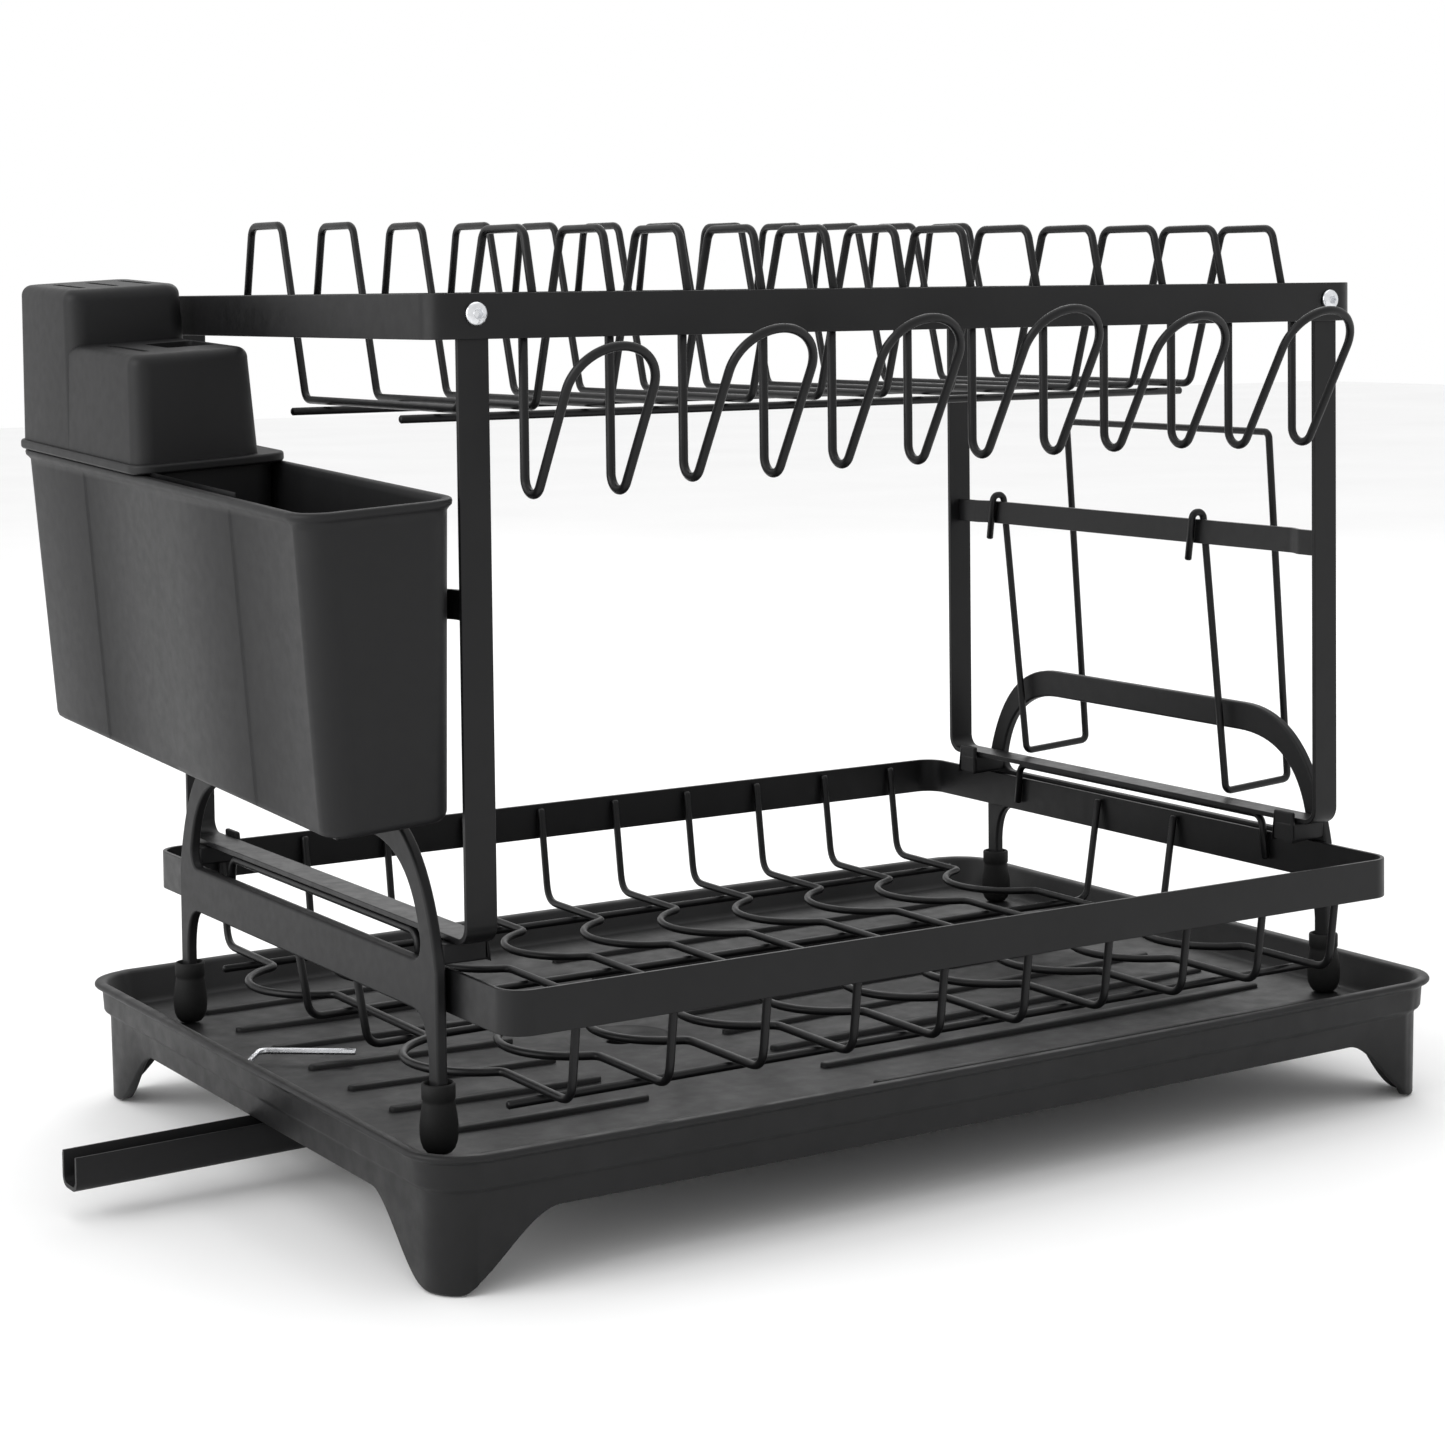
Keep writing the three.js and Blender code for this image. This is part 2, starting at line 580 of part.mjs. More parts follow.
/** Turns a piece drawn upright into the way the bin hangs, about the inner side of its rim. */
function hung(geometry) {
  const { innerX, rimZ } = BIN;
  return geometry.translate(-innerX, 0, -rimZ).rotateX(BIN_TILT).rotateY(-BIN_LEAN).translate(innerX, 0, rimZ);
}

function utensilBin() {
  const { innerX, outerX, frontY, backY, rimZ, bottomZ, wall, hookY } = BIN;
  const level = (inset, z, lean) => binRing(inset, z, lean);
  const shell = loft([
    level(2.5, bottomZ, 1),
    level(1, bottomZ + 3, 1),
    level(1, rimZ - 3, 0),
    level(-0.8, rimZ - 2.4, 0),
    level(-0.8, rimZ, 0),
    level(1 + wall, rimZ, 0),
    level(1 + wall, bottomZ + wall + 1, 1),
  ]);
  const hookTop = CROSSBAR.bottomZ + CROSSBAR.height + GAP;
  const barOuter = -(UPRIGHT.x + CROSSBAR.joggle + CROSSBAR.thick / 2);
  const lipX = barOuter + CROSSBAR.thick + GAP;
  const hooks = hookY.flatMap((y) => [
    box([innerX - 3, y - 10, hookTop], [lipX + 2, y + 10, hookTop + 3]),
    box([lipX, y - 10, hookTop - 11], [lipX + 2, y + 10, hookTop + 3]),
  ]);
  const pads = [frontY + 36, backY - 36].map((y) => (
    box([outerX + 12, y - 24, bottomZ - 2], [innerX - 12, y + 24, bottomZ + 1])
  ));
  return joined(hung(joined(shell, ...pads)), ...hooks);
}

/** Open-bottomed shell that plugs into the rear of the bin, in two steps, with slots in its tops. */
function knifeBlock() {
  const { outerX, innerX, rimZ, wall } = BIN;
  const { frontY, stepY, backY, farX, lowTopZ, highTopZ, corner } = BLOCK;
  const lipBottom = rimZ + GAP;
  const lipTop = lipBottom + 3.5;
  const level = (inset, lowY, z, radius) => (
    rectRing(outerX - 0.8 + inset, farX - inset, lowY + inset, backY - inset, radius, z)
  );
  const body = (inset, lowY, topZ) => loft([
    level(inset, lowY, lipBottom + 1, corner - inset),
    level(inset + 1.8, lowY, topZ - 3.5, corner - inset),
    level(inset + 2.6, lowY, topZ - 1, corner - inset),
    level(inset + 5, lowY, topZ, corner - inset - 2),
  ]);
  const plug = (inset, depth) => loft([
    binRing(inset, rimZ - depth, (depth + 4) / (rimZ - BIN.bottomZ), frontY + inset - 3),
    binRing(inset, lipBottom + 2, 0, frontY + inset - 3),
  ]);
  const lipOutline = rectRing(outerX - 2, innerX + 0.5, frontY - 3, backY + 2, 9, 0);
  const lip = prismZ(new THREE.Shape(lipOutline.map(([x, y]) => new THREE.Vector2(x, y))), lipBottom, lipTop);
  const plugInset = 1 + wall + GAP + 0.4;
  const outside = joined(body(0, frontY, lowTopZ), body(0, stepY, highTopZ), lip, plug(plugInset, 28));
  const inside = joined(
    body(wall, frontY, lowTopZ - wall), body(wall, stepY, highTopZ - wall), plug(plugInset + wall, 29),
  );
  const middleX = (outerX + innerX) / 2;
  const slots = [-17, -4, 9].map((shift) => box(
    [middleX + shift - 1.4, stepY + 14, highTopZ - 10], [middleX + shift + 1.4, stepY + 45, highTopZ + 1],
  ));
  const lowTop = (fromX, toX, fromY, toY) => box(
    [middleX + fromX, frontY + fromY, lowTopZ - 10], [middleX + toX, frontY + toY, lowTopZ + 1],
  );
  return hung(cut(outside, inside, ...slots, lowTop(-5.5, 13, 24, 48), lowTop(-18, -15.2, 16, 54)));
}

/** One wire: hook over the crossbar, leg, out and up to the top corner, across, and back again. */
function boardHolder() {
  const { hookY, legY, topZ, legX, legZ, outerX, outerZ } = HOLDER;
  const barX = UPRIGHT.x + CROSSBAR.joggle;
  const reach = CROSSBAR.thick / 2 + GAP + WIRE_R;
  const overZ = topZ + WIRE_R;
  const arm = (i) => [
    [barX - reach, hookY[i] + 3, overZ - 20], [barX - reach, hookY[i], overZ], [barX + reach, hookY[i], overZ],
    [legX, legY[i], legZ], [outerX, legY[i], legZ + 2], [outerX - 10, legY[i], outerZ],
  ];
  return wire(bentStations([...arm(0), ...arm(1).reverse()], 2.2));
}

function hexKey() {
  const z = floorHeight(-185, 45) + RIB.height + 2.4;
  return wire(bentStations([[-206, 25.5, z], [-196.5, 38, z], [-167, 16, z]], 3), 1.25);
}

// Materials

const finish = (color, roughness, metalness) => new THREE.MeshStandardMaterial({ color, roughness, metalness });
const traySatin = finish(0x2a2b2c, 0.55, 0);
const mouldedBlack = finish(0x262729, 0.5, 0);
const powderCoat = finish(0x1c1c1d, 0.45, 0.2);
const rubberBlack = finish(0x141414, 0.85, 0);
const plated = finish(0xc9ccd0, 0.22, 1);

// Assembly

const rack = new THREE.Group();

function add(parent, name, geometry, material, position = [0, 0, 0]) {
  const mesh = new THREE.Mesh(geometry, material);
  mesh.name = name;
  mesh.position.set(...position);
  parent.add(mesh);
}

const tray = new THREE.Group();
add(tray, 'drip_tray', dripTray(), traySatin);
add(tray, 'drain_spout', drainSpout(), mouldedBlack);
add(tray, 'hex_key', hexKey(), plated);

const lowerRack = new THREE.Group();
add(lowerRack, 'lower_band', band(LOWER), powderCoat);
for (let i = 0; i < LOWER.wires; i += 1) {
  const x = (i - (LOWER.wires - 1) / 2) * LOWER.pitch;
  add(lowerRack, `cradle_wire_${i + 1}`, lowerWire(x), powderCoat);
}
add(lowerRack, 'lower_rod_front', lowerRod(-122), powderCoat);
add(lowerRack, 'lower_rod_back', lowerRod(118), powderCoat);
add(lowerRack, 'side_rod_front', lowerSideRod(-25), powderCoat);
add(lowerRack, 'side_rod_back', lowerSideRod(25), powderCoat);
for (const [name, side] of [['left', -1], ['right', 1]]) {
  add(lowerRack, `support_rail_${name}`, staple(side), powderCoat);
  add(lowerRack, `end_frame_${name}`, endFrame(side), mouldedBlack);
  for (const [place, end] of [['front', -1], ['back', 1]]) {
    const position = [side * END_FRAME.x, end * END_FRAME.legY, 0];
    add(lowerRack, `rubber_foot_${place}_${name}`, rubberFoot(), rubberBlack, position);
  }
}

const upperRack = new THREE.Group();
const screwHoles = [-1, 1].map((side) => rod('y', SCREW.holeR, -130, 130, side * UPRIGHT.x, 0, SCREW.z));
add(upperRack, 'upper_band', cut(band(UPPER), ...screwHoles), powderCoat);
for (let i = 0; i < UPPER.wires; i += 1) {
  const x = UPPER.wireShift + (i - (UPPER.wires - 1) / 2) * UPPER.pitch;
  add(upperRack, `plate_wire_${i + 1}`, plateWire(x), powderCoat);
}
add(upperRack, 'shelf_rod_front', shelfRod(-46), powderCoat);
add(upperRack, 'shelf_rod_back', shelfRod(46), powderCoat);
HOOK_DROPS.forEach((dropZ, i) => {
  const x = MUG_HOOK.shiftX + (i - (HOOK_DROPS.length - 1) / 2) * MUG_HOOK.pitch;
  add(upperRack, `mug_hook_${i + 1}`, mugHook(x, dropZ, HOOK_PEAKS[i]), powderCoat);
});
for (const [name, side] of [['left', -1], ['right', 1]]) {
  add(upperRack, `upright_frame_${name}`, uprightFrame(side), powderCoat);
  add(upperRack, `crossbar_${name}`, crossbar(side), powderCoat);
  for (const [place, end] of [['front', -1], ['back', 1]]) {
    add(upperRack, `screw_${place}_${name}`, screw(side, end), plated);
  }
}

const accessories = new THREE.Group();
add(accessories, 'utensil_bin', utensilBin(), mouldedBlack);
add(accessories, 'knife_block', knifeBlock(), mouldedBlack);
add(accessories, 'board_holder', boardHolder(), powderCoat);

tray.position.x = TRAY_SHIFT;
rack.add(tray, lowerRack, upperRack, accessories);

const bounds = new THREE.Box3().setFromObject(rack);
const middle = bounds.getCenter(new THREE.Vector3());
rack.position.set(-middle.x, -middle.y, -bounds.min.z);

export default rack;
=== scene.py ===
import math

import bmesh
import bpy
import numpy as np
from mathutils import Matrix, Vector


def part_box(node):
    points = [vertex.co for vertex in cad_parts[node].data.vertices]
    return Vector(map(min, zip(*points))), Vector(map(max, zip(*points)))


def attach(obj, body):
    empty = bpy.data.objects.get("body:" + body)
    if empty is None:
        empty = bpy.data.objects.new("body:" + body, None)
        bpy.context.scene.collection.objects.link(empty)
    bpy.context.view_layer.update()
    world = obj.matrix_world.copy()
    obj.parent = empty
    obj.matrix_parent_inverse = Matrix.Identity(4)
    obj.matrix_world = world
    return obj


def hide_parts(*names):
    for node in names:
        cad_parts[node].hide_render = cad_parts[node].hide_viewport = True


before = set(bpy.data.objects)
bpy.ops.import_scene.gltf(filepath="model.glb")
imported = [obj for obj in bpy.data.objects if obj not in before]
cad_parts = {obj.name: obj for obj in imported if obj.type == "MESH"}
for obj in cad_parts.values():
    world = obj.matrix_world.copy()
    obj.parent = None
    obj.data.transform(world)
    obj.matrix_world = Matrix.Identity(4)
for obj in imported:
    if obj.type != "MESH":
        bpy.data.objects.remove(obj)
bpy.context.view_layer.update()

# Everything is drawn in millimetres about the middle of the two racks' bands, and moved to the
# frame by to_frame().

MM = 0.001
BAND_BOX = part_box("lower_band")
CENTRE_X = (BAND_BOX[0][0] + BAND_BOX[1][0]) / 2 / MM
CENTRE_Y = (BAND_BOX[0][1] + BAND_BOX[1][1]) / 2 / MM

SIDES = {"left": -1, "right": 1}
ENDS = {"front": -1, "back": 1}
WIRE_R = 1.5
WIRE_SECTION = 14               # sides of a wire's round section
HIDDEN = 0.2                    # how far a piece reaches into the one it is welded or set into

TRAY_HALF = (222.5, 157)
TRAY_CORNER = 20
TRAY_BOW = 3.5                  # how far the long sides bulge
RIM_Z = 46.8
STEP_Z = 33
SKIRT_Z = 24.5
FLOOR_Z = 34.2
FOOT_FLAT = 11
FOOT_REACH = 50
FOOT_SHIFT = 5                  # how far a foot sits round the corner, towards the short side
DRAIN_X = -63                   # from the tray's own middle
DRAIN_Z = 30.3
DRAIN_R = 21
DRAIN_HOLE_R = 5.5
COLLAR_R = 8.5
RIB_PITCH = 34
RIBS_PER_GROUP = 8
RIB_SPANS = ((-186, -101), (-27, 186))


def box_mm(node):
    """A node's lowest and highest corners, in millimetres about the racks' middle."""
    shift = np.array([CENTRE_X, CENTRE_Y, 0])
    return [np.array(corner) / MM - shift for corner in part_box(node)]


def middle_mm(node):
    low, high = box_mm(node)
    return (low + high) / 2


def to_frame(points):
    return (np.asarray(points, float) + [CENTRE_X, CENTRE_Y, 0]) * MM


TRAY_X = middle_mm("drip_tray")[0]


# Materials: procedural, in object coordinates, which are the frame's own metres


def principled(name):
    material = bpy.data.materials.new(name)
    material.use_nodes = True
    tree = material.node_tree
    shader = tree.nodes["Principled BSDF"]
    where = tree.nodes.new("ShaderNodeTexCoord")
    return material, tree, shader, where.outputs["Object"]


def noise(tree, where, scale, detail=3.0, roughness=0.55):
    node = tree.nodes.new("ShaderNodeTexNoise")
    node.inputs["Scale"].default_value = scale
    node.inputs["Detail"].default_value = detail
    node.inputs["Roughness"].default_value = roughness
    tree.links.new(where, node.inputs["Vector"])
    return node.outputs["Fac"]


def spread(tree, value, low, high):
    """A noise value stretched between two numbers."""
    node = tree.nodes.new("ShaderNodeMapRange")
    node.inputs["From Min"].default_value = 0.3
    node.inputs["From Max"].default_value = 0.7
    node.inputs["To Min"].default_value = low
    node.inputs["To Max"].default_value = high
    tree.links.new(value, node.inputs["Value"])
    return node.outputs["Result"]


def between_colours(tree, value, dark, light):
    node = tree.nodes.new("ShaderNodeMix")
    node.data_type = "RGBA"
    node.inputs["A"].default_value = (*dark, 1)
    node.inputs["B"].default_value = (*light, 1)
    tree.links.new(value, node.inputs["Factor"])
    return node.outputs["Result"]


def bump(tree, height, strength, distance):
    node = tree.nodes.new("ShaderNodeBump")
    node.inputs["Strength"].default_value = strength
    node.inputs["Distance"].default_value = distance
    tree.links.new(height, node.inputs["Height"])
    return node.outputs["Normal"]


def grained(name, dark, light, rough, grain_per_m, grain_depth, patch_per_m=30):
    """Dull finish: slow patches of shade and gloss over a fine grain."""
    material, tree, shader, where = principled(name)
    patches = spread(tree, noise(tree, where, patch_per_m), 0, 1)
    tree.links.new(between_colours(tree, patches, dark, light), shader.inputs["Base Color"])
    grain = noise(tree, where, grain_per_m, detail=2)
    tree.links.new(spread(tree, noise(tree, where, patch_per_m * 7), *rough), shader.inputs["Roughness"])
    tree.links.new(bump(tree, grain, 0.35, grain_depth), shader.inputs["Normal"])
    return material, shader


def powder_coat():
    material, shader = grained("satin black powder coat", (0.0035, 0.0035, 0.0038), (0.0055, 0.0055, 0.006),
                               (0.34, 0.44), 2600, 0.00004)
    shader.inputs["Specular IOR Level"].default_value = 0.25
    return material


def moulded_plastic():
    material, shader = grained("matte black moulded plastic", (0.0065, 0.0065, 0.007), (0.0075, 0.0075, 0.008),
                               (0.48, 0.54), 1900, 0.00005)
    shader.inputs["Specular IOR Level"].default_value = 0.25
    return material


def tray_plastic():
    material, shader = grained("satin black tray plastic", (0.006, 0.006, 0.0063), (0.009, 0.009, 0.0095),
                               (0.42, 0.54), 1500, 0.00005, patch_per_m=18)
    shader.inputs["Specular IOR Level"].default_value = 0.25
    return material


def foot_rubber():
    material, shader = grained("black rubber", (0.006, 0.006, 0.006), (0.010, 0.010, 0.010),
                               (0.6, 0.75), 1200, 0.00008)
    shader.inputs["Specular IOR Level"].default_value = 0.2
    return material


def plated_steel():
    material, tree, shader, where = principled("bright plated steel")
    shade = spread(tree, noise(tree, where, 400), 0, 1)
    tree.links.new(between_colours(tree, shade, (0.60, 0.61, 0.63), (0.75, 0.76, 0.78)), shader.inputs["Base Color"])
    shader.inputs["Metallic"].default_value = 1
    tree.links.new(spread(tree, noise(tree, where, 900), 0.16, 0.3), shader.inputs["Roughness"])
    tree.links.new(bump(tree, noise(tree, where, 2500), 0.2, 0.00003), shader.inputs["Normal"])
    return material


FINISHES = {
    "powder_coat": powder_coat(),
    "moulded_plastic": moulded_plastic(),
    "tray_plastic": tray_plastic(),
    "foot_rubber": foot_rubber(),
    "plated_steel": plated_steel(),
}


# Meshes


def solid_mesh(name, points, faces):
    """A closed mesh from points in millimetres, its faces all turned outward."""
    build = bmesh.new()
    corners = [build.verts.new(point) for point in to_frame(points)]
    for face in faces:
        build.faces.new([corners[i] for i in face])
    bmesh.ops.remove_doubles(build, verts=build.verts, dist=0.001 * MM)
    bmesh.ops.recalc_face_normals(build, faces=build.faces)
    mesh = bpy.data.meshes.new(name)
    build.to_mesh(mesh)
    build.free()
    return mesh


def piece(name, points, faces, slot, body, nodes=(), bevel=0.0, sharp_deg=35):
    """A smooth-shaded mesh piece from points in millimetres, riding on a body."""
    mesh = solid_mesh(name, points, faces)
    mesh.shade_smooth()
    mesh.set_sharp_from_angle(angle=math.radians(sharp_deg))
    mesh.materials.append(FINISHES[slot])
    thing = bpy.data.objects.new(name, mesh)
    bpy.context.scene.collection.objects.link(thing)
    if bevel:
        rounding = thing.modifiers.new("rounded edges", "BEVEL")
        rounding.width = bevel * MM
        rounding.segments = 3
        rounding.limit_method = "ANGLE"
        rounding.angle_limit = math.radians(40)
        rounding.harden_normals = True
    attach(thing, body)
    if nodes:
        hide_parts(*nodes)
    return thing


def loft_faces(rings, count, cyclic=False, caps=True):
    """Faces of a skin through equal rings of points."""
    faces = []
    for ring in range(rings if cyclic else rings - 1):
        low = ring * count
        high = (ring + 1) % rings * count
        for i in range(count):
            j = (i + 1) % count
            faces.append((low + i, low + j, high + j, high + i))
    if caps and not cyclic:
        faces.append(tuple(range(count - 1, -1, -1)))
        faces.append(tuple(range((rings - 1) * count, rings * count)))
    return faces


def prism(outline, along, low, high):
    """Points and faces of an outline extruded along X or Z; a hole is bridged by ring_prism()."""
    placed = []
    for depth in (low, high):
        for a, b in outline:
            placed.append((depth, a, b) if along == "x" else (a, b, depth))
    return placed, loft_faces(2, len(outline))


def ring_prism(outer, inner, along, low, high):
    """An outline with a hole whose point count matches, extruded along X or Z."""
    rings = []
    for outline, depth in ((outer, low), (outer, high), (inner, high), (inner, low)):
        rings += [(depth, a, b) if along == "x" else (a, b, depth) for a, b in outline]
    return rings, loft_faces(4, len(outer), cyclic=True)


def arc(centre, radius, start_deg, end_deg, steps):
    angles = np.radians(np.linspace(start_deg, end_deg, steps + 1))
    return [(centre[0] + radius * math.cos(a), centre[1] + radius * math.sin(a)) for a in angles]


def rounded_rect(low, high, radius, steps=10):
    """Outline of a rectangle with round corners, counterclockwise from the high-high corner."""
    (x0, y0), (x1, y1) = low, high
    outline = arc((x1 - radius, y1 - radius), radius, 0, 90, steps)
    outline += arc((x0 + radius, y1 - radius), radius, 90, 180, steps)
    outline += arc((x0 + radius, y0 + radius), radius, 180, 270, steps)
    outline += arc((x1 - radius, y0 + radius), radius, 270, 360, steps)
    return outline


def bent(corners, radius, steps=8):
    """A centreline of straight runs and true round bends."""
    corners = [Vector(corner) for corner in corners]
    path = [corners[0]]
    for before, here, after in zip(corners, corners[1:], corners[2:]):
        back = (before - here).normalized()
        on = (after - here).normalized()
        half = back.angle(on) / 2
        reach = min(radius / math.tan(half), (before - here).length * 0.45, (after - here).length * 0.45)
        bend_radius = reach * math.tan(half)
        centre = here + (back + on).normalized() * (bend_radius / math.sin(half))
        start = here + back * reach - centre
        end = here + on * reach - centre
        turn = start.angle(end)
        for step in range(steps + 1):
            share = step / steps
            swing = (start * math.sin((1 - share) * turn) + end * math.sin(share * turn)) / math.sin(turn)
            path.append(centre + swing)
    path.append(corners[-1])
    return path


def tube(path, radius, sides=WIRE_SECTION):
    """Round wire along a path, its ends slightly rounded."""
    path = [Vector(point) for point in path]
    kept = [path[0]]
    for point in path[1:]:
        if (point - kept[-1]).length > 0.05:
            kept.append(point)
    path = kept
    tangents = []
    for i in range(len(path)):
        before = path[max(i - 1, 0)]
        after = path[min(i + 1, len(path) - 1)]
        tangents.append((after - before).normalized())
    across = tangents[0].orthogonal().normalized()
    points = []
    round_end = 0.3 * radius
    stations = [(path[0], tangents[0], 0.7)]
    stations += [(path[0] + tangents[0] * round_end, tangents[0], 1.0)]
    stations += [(path[i], tangents[i], 1.0) for i in range(1, len(path) - 1)]
    stations += [(path[-1] - tangents[-1] * round_end, tangents[-1], 1.0), (path[-1], tangents[-1], 0.7)]
    for place, tangent, size in stations:
        across = (across - tangent * across.dot(tangent)).normalized()
        up = tangent.cross(across)
        for side in range(sides):
            angle = 2 * math.pi * side / sides
            points.append(place + (across * math.cos(angle) + up * math.sin(angle)) * radius * size)
    return points, loft_faces(len(stations), sides)


def wire_piece(name, path, radius, slot, body, nodes, **options):
    points, faces = tube(path, radius)
    return piece(name, points, faces, slot, body, nodes, sharp_deg=60, **options)


def joined(parts):
    """Several (points, faces) lists as one."""
    points, faces = [], []
    for more_points, more_faces in parts:
        base = len(points)
        points += [tuple(point) for point in more_points]
        faces += [tuple(base + i for i in face) for face in more_faces]
    return points, faces


def turned(profile, steps=48):
    """Points and faces of a profile of (radius, height) turned about Z; zero radius closes it."""
    rings = [point for point in profile if point[0] > 0]
    points = []
    for radius, height in rings:
        for step in range(steps):
            angle = 2 * math.pi * step / steps
            points.append((radius * math.cos(angle), radius * math.sin(angle), height))
    return points, loft_faces(len(rings), steps)


def cut_by(thing, points, faces):
    """Cuts a closed tool, given in millimetres, out of a piece and keeps the result in its mesh."""
    tool = bpy.data.objects.new("tool", solid_mesh("tool", points, faces))
    bpy.context.scene.collection.objects.link(tool)
    cutting = thing.modifiers.new("cut", "BOOLEAN")
    cutting.object = tool
    cutting.operation = "DIFFERENCE"
    cutting.solver = "EXACT"
    bpy.context.view_layer.update()
    shaped = bpy.data.meshes.new_from_object(thing.evaluated_get(bpy.context.evaluated_depsgraph_get()))
    thing.modifiers.remove(cutting)
    thing.data = shaped
    bpy.data.objects.remove(tool)
    shaped.shade_smooth()
    shaped.set_sharp_from_angle(angle=math.radians(35))
    return thing


# Drip tray


def tray_outline():
    """Rim points, each with its outward normal and its distance from the foot along the rim."""
    arc_steps = 16
    arc_half = TRAY_CORNER * math.pi / 4
    near = list(np.arange(1.5, 42, 1.5))
    long_side = near + [60, 90, 125, 160]
    short_side = near + [60, 85, 110]
    outline = []
    for quarter in range(4):
        sign_x = 1 if quarter in (0, 3) else -1
        sign_y = 1 if quarter < 2 else -1
        centre = (sign_x * (TRAY_HALF[0] - TRAY_CORNER), sign_y * (TRAY_HALF[1] - TRAY_CORNER))
        start = quarter * math.pi / 2

        foot_middle = -FOOT_SHIFT if quarter % 2 == 0 else FOOT_SHIFT

        def place(angle, along, past_corner):
            normal = (math.cos(angle), math.sin(angle))
            x = centre[0] + TRAY_CORNER * normal[0] - along * normal[1]
            y = centre[1] + TRAY_CORNER * normal[1] + along * normal[0]
            if abs(normal[1]) > 0.99:
                y += sign_y * TRAY_BOW * (1 - (x / TRAY_HALF[0]) ** 2)
            outline.append((x, y, *normal, abs(past_corner - foot_middle)))

        for along in reversed(short_side if quarter % 2 == 0 else long_side):
            place(start, -along, -arc_half - along)
        for step in range(arc_steps + 1):
            place(start + step / arc_steps * math.pi / 2, 0, (step / arc_steps - 0.5) * 2 * arc_half)
        for along in long_side if quarter % 2 == 0 else short_side:
            place(start + math.pi / 2, along, arc_half + along)
    return outline


def foot_share(from_foot):
    t = min(max((from_foot - FOOT_FLAT) / (FOOT_REACH - FOOT_FLAT), 0), 1)
    return 1 - t * t * (3 - 2 * t)


def floor_height(x, y):
    reach_x = TRAY_HALF[0] - 12 - math.copysign(1, x - DRAIN_X) * DRAIN_X
    across = max(abs(x - DRAIN_X) / reach_x, abs(y) / (TRAY_HALF[1] - 12))
    return DRAIN_Z + 0.5 + across * (FLOOR_Z - DRAIN_Z - 0.5)


def drip_tray():
    outline = tray_outline()

    def level(inset, z):
        return [(x - nx * inset, y - ny * inset, z) for x, y, nx, ny, _ in outline]

    def skirt(inset, foot_inset, raised):
        ring = []
        for x, y, nx, ny, from_foot in outline:
            share = foot_share(from_foot)
            depth = inset + (foot_inset - inset) * share
            ring.append((x - nx * depth, y - ny * depth, SKIRT_Z * (1 - share) + raised))
        return ring

    def drain(radius, z):
        ring = []
        for x, y, *_ in outline:
            reach = math.hypot(x - DRAIN_X, y)
            ring.append((DRAIN_X + radius * (x - DRAIN_X) / reach, radius * y / reach, z))
        return ring

    rings = [
        drain(DRAIN_HOLE_R, 22.5), drain(COLLAR_R, 22.5), drain(COLLAR_R, DRAIN_Z - 3),
        drain(DRAIN_R + 1, DRAIN_Z - 3), level(14, 31), level(9.5, 31),
        skirt(8.4, 11.4, 0.6), skirt(7.9, 10.9, 0), skirt(7.1, 7.2, 0), skirt(6.6, 6.6, 0.7),
        level(6.1, STEP_Z - 0.6), level(5.6, STEP_Z + 0.6), level(4.2, STEP_Z + 1.6), level(3.6, STEP_Z + 2.6),
        level(3.1, 42.6), level(2.6, 43.6), level(0.7, 44.6), level(0.1, 45.3), level(0.1, 46.0),
        level(0.5, 46.6), level(1.2, RIM_Z), level(3.2, RIM_Z), level(4.3, 46.4), level(5.2, 45.4),
        level(9.2, 36.4), level(10, 35.2), level(11, 34.5), level(12.5, FLOOR_Z),
        drain(DRAIN_R + 0.6, DRAIN_Z + 0.5), drain(DRAIN_R, DRAIN_Z + 0.4), drain(DRAIN_R - 0.8, DRAIN_Z),
        drain(DRAIN_HOLE_R + 1.5, DRAIN_Z), drain(DRAIN_HOLE_R, DRAIN_Z - 0.8),
    ]
    points = [(x + TRAY_X, y, z) for ring in rings for x, y, z in ring]
    faces = loft_faces(len(rings), len(outline), cyclic=True)
    piece("drip_tray_look", points, faces, "tray_plastic", "tray", ["drip_tray"], sharp_deg=50)


def tray_ribs():
    """Low ribs with round ends that follow the floor's fall to the drain."""
    parts = []
    for row in range(RIBS_PER_GROUP):
        y = (row - (RIBS_PER_GROUP - 1) / 2) * RIB_PITCH
        for start, end in RIB_SPANS:
            points = []
            levels = ((2.4, -1.2), (2.3, 0.9), (2.0, 1.35), (1.4, 1.6))
            for half, rise in levels:
                right = arc((end - 2.4, y), half, -90, 90, 8)
                left = arc((start + 2.4, y), half, 90, 270, 8)
                points += [(px + TRAY_X, py, floor_height(px, y) + rise) for px, py in right + left]
            parts.append((points, loft_faces(len(levels), 18)))
    points, faces = joined(parts)
    piece("tray_ribs", points, faces, "tray_plastic", "tray")


